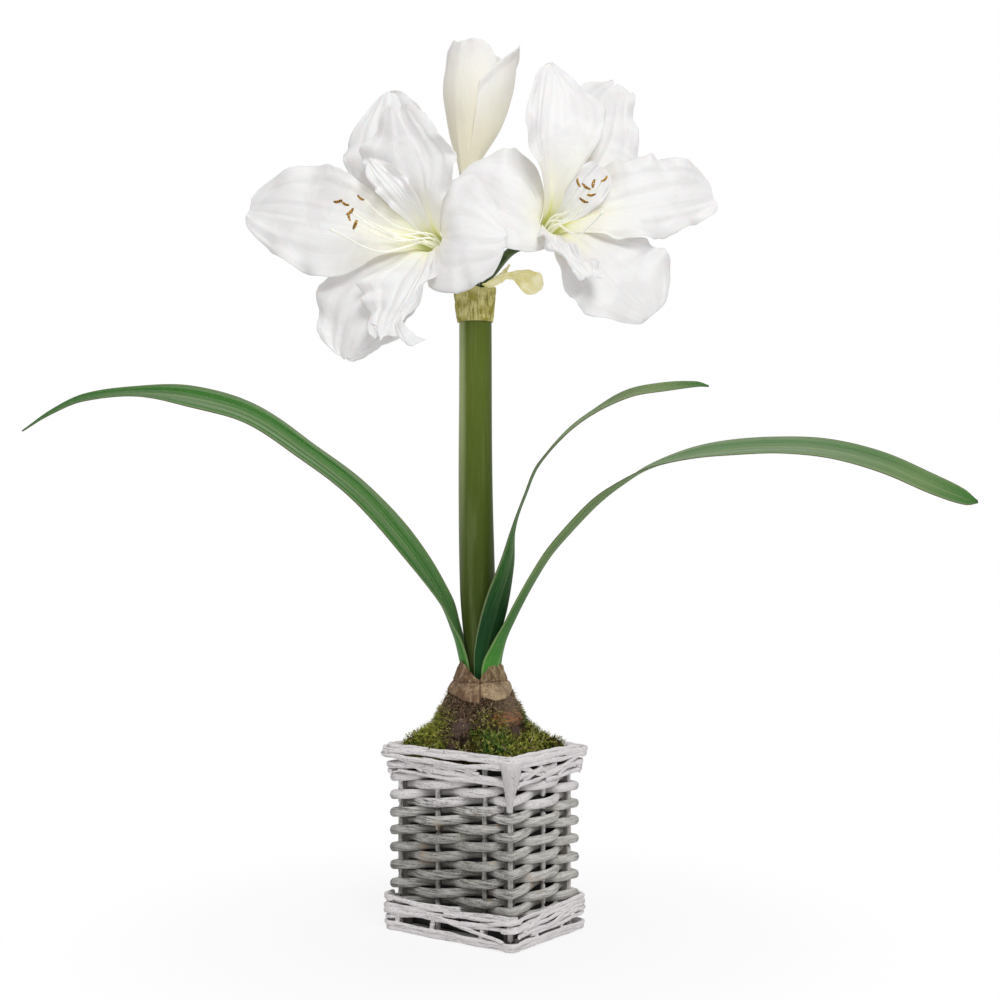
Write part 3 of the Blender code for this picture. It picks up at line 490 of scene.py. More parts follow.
def barkFinish():
    finish = Finish("bulbBark", {
        "dark": (40, 30, 22), "brown": (118, 94, 74), "plum": (118, 98, 90), "orange": (196, 108, 62),
        "pale": (184, 160, 132)}, Roughness=0.9, Specular_IOR_Level=0.15)
    place = finish.place()
    x, y, z = finish.axes(place)
    fibre = finish.streaks(0.30, 420, 5, 0.68, 1.4)
    flake = finish.streaks(2.6, 210, 4, 0.6, 0.8)
    ridge = finish.streaks(5.0, 130, 4, 0.6, 0.6)
    patch = finish.noise(place, 70, 3, 0.5)
    band = z.rise(0.149, 0.152) * z.rise(0.161, 0.157) * x.rise(0.002, 0.010) * (0 - y).rise(0.0, 0.01)
    finish.feed(Base_Color=finish.coats(
        "dark", (fibre.rise(0.40, 0.64), "brown"),
        (patch.rise(0.46, 0.6) * z.rise(0.160, 0.150) * 0.7, "plum"),
        (flake.rise(0.46, 0.36) * 0.7, "dark"),
        (band * ridge.rise(0.46, 0.56), "orange"),
        (fibre.rise(0.62, 0.72) * 0.6, "pale"),
        (x.rise(0.004, 0.018) * z.rise(0.148, 0.154) * 0.35, "pale")))
    finish.bump(fibre + flake * 0.9, 0.0026)
    return finish


def tunicFinish():
    finish = Finish("bulbTunic", {
        "dark": (74, 54, 38), "tan": (196, 168, 130), "rose": (122, 94, 72), "pale": (206, 184, 152),
        "olive": (112, 94, 60)}, Roughness=0.75, Specular_IOR_Level=0.25)
    place = finish.place()
    x, _, z = finish.axes(place)
    streak = finish.streaks(0.14, 560, 4, 0.65, 0.5)
    crease = finish.streaks(2.2, 170, 3, 0.6, 1.0)
    patch = finish.noise(place, 100, 3, 0.55)
    # painted shade: a dark line along the crease below the neck
    fold = (z - 0.1797 + (patch - 0.5) * 0.004).size().rise(0.0008, 0.0002)
    # painted shade: dark along each lobe's side edges, where the lobes meet
    seam = (finish.along()[0] - 0.5).size().rise(0.476, 0.496)
    finish.feed(Base_Color=finish.coats(
        "rose", (patch.rise(0.35, 0.62), "tan"),
        (z.rise(0.1795, 0.1815) * 0.6, "olive"),
        (x.rise(0.002, -0.010) * 0.75, "rose"),
        (streak.rise(0.52, 0.66) * 0.55, "pale"),
        (streak.rise(0.46, 0.34) * 0.75, "dark"),
        (crease.rise(0.42, 0.34) * 0.6, "dark"),
        # painted shade in the crease
        (fold * 0.55, "dark"),
        # painted shade where the lobes meet
        (seam * 0.85, "dark"),
        (x.rise(-0.002, 0.008) * z.rise(0.180, 0.176) * 0.30, "pale")))
    finish.bump(streak * 0.8 + crease * 1.0 + patch * 0.5, 0.0022)
    return finish


def leafFinish():
    # green strap: broad pale and dark bands, the pale ones a painted grey sheen that grows along the
    # blade and fades near the tip, fine veins, dark edges, painted shade low down and painted light
    # where "pale" is high
    finish = Finish("leafGreen", {
        "deep": (26, 84, 20), "mid": (72, 132, 50), "sheen": (156, 168, 142), "base": (66, 146, 44),
        "line": (158, 174, 122), "shade": (10, 52, 28), "rim": (74, 70, 44), "fleck": (170, 188, 132)},
        Roughness=0.45, Specular_IOR_Level=0.12)
    u, v = finish.along()
    side, dusk, pale = (finish.number(name) for name in ("side", "dusk", "pale"))
    veins = finish.noise(finish.vector(u * 42, v * 3, dusk * 9), 1.0, 3, 0.6)
    bands = finish.noise(finish.vector(u * 7.5, v * 1.6, 3.7), 1.0, 2, 0.5)
    grain = finish.noise(finish.place(), 900, 3, 0.6)
    middle = (u - 0.5).size()
    # painted sheen: pale grey bands that grow along the blade and fade near the tip
    bloom = bands.rise(0.34, 0.70) * (v.rise(0.05, 0.60) * 0.50 + 0.12)
    bloom = bloom * (1 - v.rise(0.70, 0.92) * 0.65)
    finish.feed(Base_Color=finish.coats(
        "deep", (veins.rise(0.34, 0.62), "mid"),
        (v.rise(0.14, 0.02) * 0.7, "base"),
        # painted sheen
        (bloom, "sheen"),
        ((1 - side) * v.rise(0.05, 0.3) * v.rise(1.0, 0.7) * 0.28, "sheen"),
        (grain.rise(0.58, 0.70) * 0.34 * side, "fleck"),
        (veins.rise(0.60, 0.70) * 0.25, "line"),
        # painted shade: the lower part of each leaf darkens, the middle leaf most
        (dusk, "shade"),
        # painted light: the middle leaf's arch and part of the right leaf are lightened where "pale" is
        # high
        (pale * v.rise(1.0, 0.88), "line"),
        (middle.rise(0.030, 0.010) * (0.5 - dusk * 0.5), "line"),
        (middle.rise(0.434, 0.456) * 0.45, "line"),
        (middle.rise(0.464, 0.480) * (v.rise(0.12, 0.40) * 0.6 + 0.2), "rim")),
        Roughness=0.40 + veins * 0.16)
    finish.bump(veins * 0.9 + bands * 0.8, 0.0007)
    return finish


def scapeFinish():
    finish = Finish("scapeGreen", {"top": (92, 108, 38), "low": (58, 74, 22), "light": (176, 188, 134),
                                   "dusk": (34, 48, 20)}, Roughness=0.42, Specular_IOR_Level=0.12)
    x, _, z = finish.axes(finish.place())
    bloom = finish.streaks(0.08, 160, 4, 0.55)
    fine = finish.streaks(0.04, 700, 3, 0.5)
    finish.feed(Base_Color=finish.coats(
        "low", (z.rise(0.20, 0.44), "top"),
        (bloom.rise(0.48, 0.68) * 0.10, "light"),
        # painted highlight: a pale band down the stem's left edge, stronger higher up
        (x.rise(-0.0120, -0.0165) * (z.rise(0.26, 0.40) * 0.65 + 0.2), "light"),
        # painted shade: the stem's right side darker
        (x.rise(-0.0010, 0.0060) * 0.45, "low"),
        # painted shade: darker still on the lower right
        (z.rise(0.30, 0.21) * x.rise(-0.002, 0.006) * 0.7, "dusk"),
        (fine.rise(0.56, 0.44) * 0.12, "low")), Roughness=0.36 + bloom * 0.18)
    finish.bump(fine, 0.00025)
    return finish


def spatheFinish(name, low, high, vein, glow):
    look = {"low": low, "high": high, "vein": vein}
    finish = Finish(name, look, Roughness=0.7, Specular_IOR_Level=0.15, Emission_Strength=glow)
    u, v = finish.along()
    veins = finish.noise(finish.vector(u * 60, v * 2.5, 0.0), 1.0, 4, 0.65)
    blotch = finish.noise(finish.place(), 140, 3, 0.55)
    colour = finish.coats("low", (blotch.rise(0.32, 0.66), "high"),
                          (veins.rise(0.50, 0.38) * 0.7, "vein"), (v.rise(0.80, 0.98) * 0.6, "high"))
    # painted light: the piece glows in its own colour by the share glow
    finish.feed(Base_Color=colour, Emission_Color=colour)
    finish.bump(veins, 0.0010)
    return finish


def tepalFinish(name, blush, blushEnd, blushShare, throatShare):
    # white petal with faint veins: cream, then lime towards its foot; its emission is painted light, a
    # faint glow everywhere, warmer and lime towards the foot, standing in for light shining through
    finish = Finish(name, {
        "white": (231, 230, 230), "shade": (213, 211, 212), "lime": (196, 200, 88),
        "core": (158, 168, 34), "cream": (240, 237, 204), "glow": (84, 83, 82),
        "limeGlow": (112, 114, 46), "warmGlow": (98, 96, 78), "blush": blush}, Roughness=0.55,
        Specular_IOR_Level=0.3, Subsurface_Weight=0.12, Subsurface_Scale=0.004, Emission_Strength=1.0)
    u, v = finish.along()
    place = finish.place()
    veins = finish.noise(finish.vector(u * 44, v * 2.2, 0.3), 1.0, 3, 0.55)
    folds = finish.noise(finish.vector(u * 7, v * 2.6, 1.7), 1.0, 3, 0.55)
    crepe = finish.noise(place, 330, 3, 0.55)
    cloud = finish.noise(place, 26, 3, 0.6, 0.4)
    midrib = (u - 0.5).size().rise(0.16, 0.0)
    throat = v.rise(0.27, 0.14) * (0.24 + midrib * 0.48) * throatShare
    colour = finish.coats(
        "white", (veins.rise(0.52, 0.34) * 0.16, "shade"),
        # painted shade: large soft grey patches
        (cloud.rise(0.54, 0.40) * 0.40, "shade"),
        (v.rise(blushEnd, 0.12) * blushShare, "blush"),
        (v.rise(0.50, 0.22) * (0.30 + midrib * 0.35) * throatShare, "cream"),
        (throat, "lime"),
        (v.rise(0.17, 0.08) * throatShare * 0.75, "core"))
    # painted light: the glow lifts the petal's shade, most at its foot
    glow = finish.coats("glow", (v.rise(0.42, 0.20) * throatShare * 0.8, "warmGlow"),
                        (throat, "limeGlow"))
    finish.feed(Base_Color=colour, Roughness=0.50 + veins * 0.1, Emission_Color=glow)
    finish.bump(veins * 0.2 + folds * 0.7 + crepe * 0.25, 0.0009)
    return finish


def stamenFinish(name, low, high, scale, glow):
    finish = Finish(name, {"low": low, "high": high}, Roughness=0.75, Emission_Strength=glow)
    # painted light: the piece glows in its bright colour by the share glow
    finish.feed(Emission_Color=finish.look["high"])
    grains = finish.noise(finish.place(), scale, 3, 0.6)
    finish.feed(Base_Color=finish.coats("low", (grains.rise(0.42, 0.58), "high")))
    finish.bump(grains, 0.0002)
    return finish


willow = willowFinish()
moss = mossFinish()
bark = barkFinish()
tunicPaper = tunicFinish()
leafGreen = leafFinish()
scapeGreen = scapeFinish()
collarPaper = spatheFinish("spathePaper", (176, 166, 74), (234, 226, 156), (122, 110, 46), 0.0)
# the bract glows as painted light to lift the shade under the petals
bractPaper = spatheFinish("spatheBract", (226, 216, 148), (248, 242, 204), (202, 190, 104), 0.38)
tepalWhite = tepalFinish("tepalWhite", (233, 233, 224), 0.3, 0.2, 1.0)
budCream = tepalFinish("budCream", (240, 232, 206), 1.2, 1.0, 0.0)
stalkGreen = plainFinish("stalkGreen", (46, 66, 26), (78, 102, 44), 180, 0.42, 0.0002)
pollen = stamenFinish("pollen", (74, 44, 14), (206, 156, 58), 1000, 0.0)
# the filaments glow as painted light to lift the shade in the throat
filamentWhite = stamenFinish("filamentWhite", (238, 238, 224), (246, 246, 236), 500, 0.16)
plastic = plainFinish("linerPlastic", (16, 16, 16), (30, 29, 28), 90, 0.5, 0.0002)
soilBrown = plainFinish("pottingSoil", (34, 26, 20), (70, 54, 40), 400, 0.95, 0.0012)
print("finishes made")


# Rim and foot strands: where each starts and ends, counted in sides from the left corner, then in
# tenths of a millimetre its first, middle and last height, how far out both ends lie, and its width
# at both ends.
basket = {
    "rodWide": 0.0050, "rodTall": 0.0066, "swing": 0.0037, "rows": 4, "rowPitch": 0.0064,
    # the last value sets how far behind each corner stake its dark post of painted shade stands
    "wanderOut": 0.0006, "wanderUp": 0.0012, "shadePostBehind": 0.0052,
    "longClimb": 0.0120, "firstRow": 0.0272, "lowestRow": 0.0175, "lastRow": 0.1192,
    "washFrom": 0.087, "washFull": 0.101, "washShare": 0.86, "stakeWide": 0.0037, "stakeTop": 0.1232,
    "rimStrands": (
        (-0.02, 3.98, 1304, 1304, 1304, 98, 98, 44, 44),
        (0.35, 4.33, 1318, 1318, 1318, 64, 64, 46, 46), (1.4, 5.38, 1308, 1308, 1308, 30, 30, 46, 46),
        (-0.07, 1.03, 1276, 1212, 1276, 104, 96, 34, 40),
        (0.96, 2.08, 1280, 1258, 1278, 98, 98, 42, 32),
        (1.97, 4.03, 1270, 1260, 1270, 94, 94, 44, 44), (0.2, 0.56, 1222, 1206, 1232, 84, 80, 26, 30),
        (0.46, 0.76, 1236, 1212, 1204, 82, 86, 30, 24),
        (-0.05, 0.44, 1188, 1200, 1212, 72, 66, 50, 36), (0.3, 1, 1190, 1172, 1162, 74, 70, 38, 40),
        (0.06, 0.36, 1268, 1225, 1158, 92, 66, 40, 24),
        (0.16, 0.29, 1240, 1210, 1172, 90, 76, 24, 22), (0.4, 0.66, 1236, 1205, 1160, 88, 68, 30, 20),
        (0.66, 0.8, 1240, 1205, 1176, 86, 78, 26, 22), (0.6, 0.74, 1172, 1195, 1244, 72, 86, 22, 30),
        (0.08, 0.62, 1160, 1138, 1148, 66, 64, 28, 36),
        (0.55, 1.04, 1142, 1158, 1130, 70, 70, 36, 28),
        (1.02, 1.62, 1196, 1205, 1234, 74, 72, 42, 36), (1.4, 2.04, 1180, 1200, 1212, 68, 76, 36, 46),
        (1.05, 1.42, 1262, 1215, 1172, 92, 66, 36, 22),
        (1.12, 1.36, 1168, 1190, 1242, 68, 90, 22, 34),
        (1.34, 1.52, 1240, 1215, 1174, 88, 74, 26, 22), (1.5, 1.92, 1166, 1195, 1266, 66, 94, 24, 38),
        (1.66, 1.84, 1150, 1180, 1222, 70, 82, 24, 28), (1.04, 1.6, 1138, 1150, 1172, 68, 66, 32, 26),
        (1.48, 2.03, 1132, 1140, 1166, 66, 70, 30, 32),
        (1.96, 3.04, 1195, 1205, 1195, 70, 70, 48, 48),
        (1.98, 3.02, 1150, 1140, 1150, 68, 68, 36, 36), (2.3, 2.75, 1170, 1200, 1255, 66, 90, 26, 38),
        (2.62, 2.94, 1255, 1215, 1165, 90, 68, 36, 24),
        (2.96, 4.03, 1198, 1190, 1196, 70, 70, 46, 46),
        (2.98, 4.02, 1146, 1152, 1142, 68, 68, 36, 36), (3.1, 3.46, 1255, 1210, 1165, 90, 68, 38, 24),
        (3.44, 3.9, 1165, 1205, 1255, 68, 90, 26, 38)),
    "footStrands": (
        (0.02, 4.01, 30, 30, 30, 74, 74, 46, 46), (2.98, 6.98, 54, 54, 54, 82, 82, 34, 34),
        (-0.03, 0.3, 98, 130, 150, 80, 80, 28, 32), (-0.05, 0.66, 138, 156, 140, 86, 80, 40, 32),
        (0.02, 0.9, 166, 178, 210, 82, 80, 28, 26), (-0.06, 1.02, 186, 205, 243, 80, 82, 32, 28),
        (-0.08, 0.32, 250, 245, 205, 86, 80, 40, 32), (0.1, 0.6, 225, 225, 240, 78, 76, 26, 28),
        (0.48, 0.98, 198, 190, 222, 88, 84, 26, 24), (0.62, 1.06, 142, 168, 222, 86, 94, 34, 28),
        (0.55, 1.03, 128, 148, 160, 78, 80, 28, 34), (0.34, 0.96, 176, 120, 75, 90, 92, 30, 26),
        (0.97, 2.05, 222, 228, 250, 90, 80, 30, 30), (0.98, 2.02, 172, 205, 218, 80, 86, 32, 28),
        (0.94, 1.98, 148, 162, 192, 88, 82, 30, 34), (1.03, 2.06, 112, 128, 168, 80, 90, 34, 28),
        (1.22, 2.03, 98, 96, 132, 80, 82, 28, 32), (1.08, 1.5, 136, 180, 246, 92, 88, 26, 22),
        (1.42, 1.9, 106, 150, 226, 92, 88, 28, 24), (1.96, 3.05, 235, 222, 240, 80, 80, 32, 32),
        (1.97, 3.03, 198, 205, 186, 86, 82, 34, 32), (1.98, 3.02, 152, 138, 158, 80, 80, 34, 34),
        (2.02, 2.8, 120, 100, 130, 82, 82, 28, 32), (2.94, 4.05, 228, 236, 226, 82, 82, 32, 32),
        (2.97, 4.03, 186, 196, 180, 86, 86, 34, 32), (2.98, 4.02, 140, 125, 148, 80, 80, 32, 32),
        (3.1, 3.9, 100, 112, 98, 84, 82, 28, 28)),
    "footRisers": (0.07, 0.36, 0.76, 1.30, 1.70, 2.3, 2.7, 3.3, 3.7),
    # the split end over the front corner: reach, height, 0, width
    "strap": ((0.0060, 0.1270, 0, 0.0100), (0.0100, 0.1304, 0, 0.0128), (0.0136, 0.1286, 0, 0.0140),
              (0.0136, 0.1226, 0, 0.0126), (0.0112, 0.1130, 0, 0.0088), (0.0084, 0.1040, 0, 0.0054),
              (0.0060, 0.0955, 0, 0.0032)),
    "strapThick": 0.0013, "strapBow": 0.0034, "crumple": 0.0005,
}
stakeNames = [f"stake_{n:02d}" for n in range(1, 11)]
stakes = [middleOf(name).xy for name in stakeNames]
corners = [stakes[0], stakes[3], stakes[5], stakes[8]]  # left, front, right, back
sides = [corners[(i + 1) % 4] - corners[i] for i in range(4)]
outwards = [Vector((side.y, -side.x)).normalized() for side in sides]


def besideStakes(station, distance, z, soften=0.05):
    # a point beside the stake line: station 0 is the left corner, 1 the front, 2 right, 3 back
    side = math.floor(station)
    share = station - side
    here, before, after = outwards[side % 4], outwards[(side - 1) % 4], outwards[(side + 1) % 4]
    out = here.copy()
    if share < soften:
        out = before.lerp(here, 0.5 + share / soften / 2)
    elif share > 1 - soften:
        out = here.lerp(after, 0.5 - (1 - share) / soften / 2)
    out /= out.length ** 1.8
    part = min(max((share - soften) / (1 - 2 * soften), 0), 1)
    flat = corners[side % 4].lerp(corners[(side + 1) % 4], part) + out * distance
    return (flat.x, flat.y, z)


def pathsMesh(name, paths):
    # lines to sweep along: each row is x, y, z, girth, wash, tone and the share of painted shade in
    # recesses
    rows = np.concatenate(paths)
    starts = np.cumsum([0] + [len(path) for path in paths])
    edges = [(i, i + 1) for first, end in zip(starts, starts[1:]) for i in range(first, end - 1)]
    girth, wash, tone, recess = rows.T[3:]
    return mark(plainMesh(name, rows[:, :3], edges, []), girth=girth, wash=wash, tone=tone,
                recess=recess)


def sweepRecipe():
    # sweeps an oval along each line and roughens it like peeled willow
    recipe = Recipe("sweptWillow", Wide="Float", Tall="Float", Sides="Int", Rough="Float", Knots="Float")
    curve = recipe.node("GeometryNodeMeshToCurve", {0: recipe.given("Geometry")})
    curve = recipe.store(curve, "along", recipe.node("GeometryNodeSplineParameter", output="Length"))
    curve = recipe.node("GeometryNodeSetCurveNormal", {"Curve": curve}, mode="Z_UP")
    ring = recipe.node("GeometryNodeCurvePrimitiveCircle", {
        "Resolution": recipe.given("Sides"), "Radius": 0.5})
    size = recipe.vector(recipe.given("Wide"), recipe.given("Tall"), 1.0)
    swept = recipe.node("GeometryNodeCurveToMesh", {
        "Curve": curve, "Profile Curve": recipe.node("GeometryNodeTransform", {0: ring, "Scale": size}),
        "Scale": recipe.named("girth"), "Fill Caps": True})
    along, tone = recipe.named("along"), recipe.named("tone")
    z = recipe.axes(recipe.node("GeometryNodeInputPosition"))[2]
    ridges = recipe.noise(recipe.vector(along * 130, z * 700, tone * 37), 1.0, 2) - 0.5
    knots = recipe.noise(recipe.vector(along * 45, tone * 19, 0.0), 1.0, 2) - 0.5
    push = ridges * recipe.given("Rough") + knots * recipe.given("Knots")
    offset = recipe.node("ShaderNodeVectorMath", {
        0: recipe.node("GeometryNodeInputNormal"), "Scale": push}, operation="SCALE")
    rough = recipe.node("GeometryNodeSetPosition", {"Geometry": swept, "Offset": offset})
    recipe.end(recipe.node("GeometryNodeSetShadeSmooth", {0: rough}))
    return recipe


def weaverPath(number, chance):
    # outside one stake and inside the next while it climbs; an outside bay is fat, an inside one thin
    count, steps = len(stakes), 9
    turnClimb = basket["rows"] * basket["rowPitch"]
    climbs = (basket["longClimb"], turnClimb / 2 - basket["longClimb"]) * 2
    outs, gained = [], []
    for i, place in enumerate(stakes):
        side = sum(i >= corner for corner in (3, 5, 8))
        share = (place - corners[side]).length / sides[side].length
        outs.append(outwards[side] if share > 0.01 else outwards[side] + outwards[side - 1])
        gained.append(sum(climbs[:side]) + climbs[side] * share)
    foot = basket["firstRow"] - 0.006 + number * basket["rowPitch"]

    def height(i):
        return foot + gained[i % count] + (i // count) * turnClimb

    visited = [i for i in range(-count, 6 * count)
               if basket["lowestRow"] <= height(i) <= basket["lastRow"]]
    rows, tone = [], chance.random()
    drift = {i: chance.uniform(-0.0006, 0.0006) for i in visited}
    for i in visited[:-1]:
        if (i + number) % 5 == 0:
            tone = chance.random()  # a new rod takes over
        here, there = i % count, (i + 1) % count
        sign = 1 if (i + number) % 2 == 0 else -1
        for k in range(steps):
            part = k / steps
            wave = math.cos(math.pi * part)
            wave = math.copysign(abs(wave) ** 0.85, wave) * sign
            z = (height(i) + drift[i]) * (1 - part) + (height(i + 1) + drift[i + 1]) * part
            z -= 0.0005 * wave
            wash = smoothstep((z - basket["washFrom"]) / (basket["washFull"] - basket["washFrom"]))
            wash = max(wash * basket["washShare"], smoothstep((0.030 - z) / 0.010) * 0.35)
            out = outs[here].lerp(outs[there], part)
            if wave < 0 or k > 0:
                out = out.normalized()
            flat = stakes[here].lerp(stakes[there], part) + out * (basket["swing"] * wave)
            # painted shade: the rod is marked darker where it passes inside a stake
            recess = smoothstep((0.10 - wave) / 0.9) * 0.7
            rows.append((flat.x, flat.y, z, 0.97 + 0.06 * wave, wash, tone, recess))
    return np.array(rows)


def strandPath(chance, wash, start, end, low, middle, high, *spans, count=0):
    # a strand laid round the outside between two stations
    low, middle, high, near, far, thick, thin = np.array((low, middle, high, *spans)) / 10000
    count = count or max(int(abs(end - start) * 34), 8)
    rows, tone = [], chance.random()
    seed = chance.uniform(0, 60)
    for part in np.linspace(0, 1, count).tolist():
        wander = lump(part * abs(end - start) * 5 + seed, seed, 0)
        drop = low * (1 - part) ** 2 + 2 * middle * part * (1 - part) + high * part ** 2
        reach = near + (far - near) * part + basket["wanderOut"] * wander
        point = besideStakes(start + (end - start) * part, reach, drop + basket["wanderUp"] * wander)
        rows.append((*point, (thick + (thin - thick) * part) * (1 + 0.12 * wander), wash, tone, 0.0))
    return np.array(rows)


def stakePaths(chance):
    paths = []
    for place in stakes:
        rows, tone, seed = [], chance.random(), chance.uniform(0, 90)
        for z in np.linspace(0.0006, basket["stakeTop"], 40):
            sway = Vector((lump(z * 60, seed, 0), lump(z * 60, 0, seed)))
            wash = max(smoothstep((z - 0.090) / 0.02), smoothstep((0.028 - z) / 0.01), 0.35)
            at = place + sway * 0.0004
            rows.append((at.x, at.y, z, 1.0 + 0.08 * sway.x, wash, tone, 0.0))
        paths.append(np.array(rows))
    heights = np.linspace(0.0040, 0.1220, 12)
    for i, place in enumerate(corners):  # a dark post behind each corner stake is painted shade, filling the gap seen through the weave
        at = place - (outwards[i] + outwards[i - 1]).normalized() * basket["shadePostBehind"]
        paths.append(np.array([(at.x, at.y, z, 2.1, 0.0, 0.2, 1.0) for z in heights]))
    return paths


def buildBasket():
    chance = random.Random(7)
    sweep = sweepRecipe()

    def laid(name, paths, wide, tall, sides, rough, knots, slot, *nodes, **numbers):
        piece = sweep.grow(name, pathsMesh(name + "Path", paths), Wide=wide, Tall=tall, Sides=sides,
                           Rough=rough, Knots=knots, Material=willow.material)
        mark(piece.data, **numbers)
        dress(piece, slot, *nodes)

    for number in range(basket["rows"]):
        laid(f"wovenRod{number + 1}", [weaverPath(number, chance)], basket["rodWide"], basket["rodTall"],
             12, 0.0007, 0.0008, "grey_willow", f"weaver_{number + 1}")
    laid("stakeRods", stakePaths(chance), basket["stakeWide"], basket["stakeWide"], 10, 0.0004, 0.0004,
         "grey_willow", *stakeNames, upright=1.0)
    # flat whitewashed strands lie round the top, some crossing down over the weave
    laid("rimStrands", [strandPath(chance, 1.0, *row) for row in basket["rimStrands"]], 0.62, 1.0, 12,
         0.0014, 0.0018, "whitewashed_willow", "rim_hoop_outer", "rim_hoop_top", "rim_hoop_inner")
    buildCornerStrap()
    paths = [strandPath(chance, 0.95, *row) for row in basket["footStrands"]]
    paths += [strandPath(chance, 0.95, at, at + 0.02, 36, 82, 128, 72, 72, 40, 32, count=8)
              for at in basket["footRisers"]]
    laid("footStrands", paths, 0.66, 1.0, 12, 0.0013, 0.0016, "whitewashed_willow", "foot_hoop",
         "foot_wale_1", "foot_wale_2", "foot_wale_3")


def buildCornerStrap():
    # the front corner's stake is split flat and folded down over the rim
    rows, columns = 60, 21
    out = (outwards[0] + outwards[1]).normalized()
    sideways = Vector((-out.y, out.x))
    grid = np.empty((rows, columns, 3))
    for r, (reach, z, _, wide) in enumerate(smoothLine(basket["strap"], rows)):
        for c, share in enumerate(np.linspace(-1, 1, columns)):
            away = reach - basket["strapBow"] * share ** 2
            away += basket["crumple"] * lump(share * 1.6, r * 0.08, 5)
            flat = corners[1] + out * away + sideways * (share * wide / 2 - 0.0010)
            grid[r, c] = (flat.x, flat.y, z)
    dress(blade("cornerStrap", grid, basket["strapThick"], willow, edge=0.6, wash=0.80, tone=0.9,
                # a little painted shade darkens the strap
                recess=0.26, upright=1.0, calm=1.0, along=gridOf(rows, columns)[0] * 0.05),
          "whitewashed_willow")


buildBasket()
print("basket woven")


bulb = {
    "outline": ((0.0140, 0.1070), (0.0210, 0.1105), (0.0248, 0.1165), (0.0262, 0.1235), (0.0305, 0.1320),
                (0.0330, 0.1420), (0.0318, 0.1500), (0.0290, 0.1580), (0.0252, 0.1650), (0.0226, 0.1715),
                (0.0190, 0.1790), (0.0182, 0.1806)),
    "neckInside": 0.0168, "neckFloor": 0.1783, "barkDepth": 0.0016, "smoothAbove": 0.1775,
}
mound = {
    "reaches": (0.0240, 0.0280, 0.0312, 0.0360, 0.0435, 0.0530, 0.0640),  # its profile
    "heights": (0.1600, 0.1565, 0.1495, 0.1443, 0.1400, 0.1366, 0.1335),
    "rim": 0.1325, "floor": 0.1238, "inset": 0.0023, "humps": 0.0016, "crumbs": 0.0008,
    "bareStrips": ((-113, 11, 0.0365), (-40, 12, 0.0350)),  # bearing, half angle, how far out bark shows
    # what grows, its sprig, how many to a square metre, seed, sizes, tones and tilt
    "growth": (("mossSprigs", "sprig", 300000.0, 2, 0.0026, 0.0048, 0.0, 0.78, 0.75),
               ("mossCurls", "curl", 110000.0, 5, 0.0028, 0.0052, 0.2, 1.0, 0.75),
               ("barkFibres", "curl", 420000.0, 4, 0.0014, 0.0030, 0.74, 0.93, 1.57),
               ("climbingMoss", "sprig", 400000.0, 9, 0.0015, 0.0030, 0.1, 0.97, 0.75)),
}


def bulbRadius(z):
    radii, heights = np.array(bulb["outline"]).T
    return np.interp(z, heights, radii)


def moundHeight(x, y):
    across = Vector((x - bulbMiddle.x, y - bulbMiddle.y))
    reach, bearing = across.length, math.degrees(math.atan2(across.y, across.x))
    height = np.interp(reach, mound["reaches"], mound["heights"])
    for middle, half, out in mound["bareStrips"]:
        bare = smoothstep(1.6 - abs(bearing - middle) / half)
        bare *= smoothstep((out + 0.006 - reach) / 0.006)
        height -= (height - mound["rim"] - 0.003) * bare
    return (height + lump(x * 130, y * 130, 4) * mound["humps"]
            + lump(x * 320, y * 320, 9) * mound["crumbs"])


def buildMound():
    # a bed inside the rim, thick enough to hide the soil, with its moss standing on it
    ring, rows = 120, 34
    edge = [besideStakes(k * 4 / ring, -mound["inset"], 0.0) for k in range(ring)]
    verts = [(x, y, mound["floor"]) for x, y, _ in edge]
    for part in (1 - np.arange(rows) / (rows - 1)) ** 0.9:
        drop = 0.003 * smoothstep((part - 0.93) / 0.07)
        for x, y, _ in edge:
            at = bulbMiddle.xy.lerp(Vector((x, y)), 0.20 + 0.80 * part)
            verts.append((at.x, at.y, moundHeight(at.x, at.y) - drop))
    return meshPiece("mossBed", verts, tube(rows + 1, ring), moss, tone=0.4, tip=0.25)


def sprigMesh(name, joints, thick, bend, leaflets):
    # a moss sprig: a thin bent stem and a few leaflets
    verts, tips = [], []
    for part in np.linspace(0, 1, joints + 1):
        wide, lean = thick * (1 - 0.75 * part), bend * part ** 1.6
        verts += [(lean + wide * math.cos(a), wide * math.sin(a), part) for a in (0, 2.094, 4.189)]
        tips += [part] * 3
    faces = tube(joints + 1, 3)
    for i in range(leaflets):
        part = 0.3 + 0.65 * i / max(leaflets - 1, 1)
        turn = i * 2.4
        foot = Vector((bend * part ** 1.6, 0, part))
        out = Vector((math.cos(turn), math.sin(turn), 0.9)).normalized() * 0.34
        wide = Vector((-math.sin(turn), math.cos(turn), 0)) * 0.075
        thin = out.cross(wide).normalized() * 0.02
        n = len(verts)
        verts += [foot - wide, foot + wide, foot + out, foot + out * 0.45 - thin]
        faces += [(n, n + 1, n + 2), (n + 1, n, n + 3), (n + 2, n + 1, n + 3), (n, n + 2, n + 3)]
        tips += [part, part, 1.0, part]
    return addObject(name, mark(plainMesh(name, verts, [], faces), tip=tips))


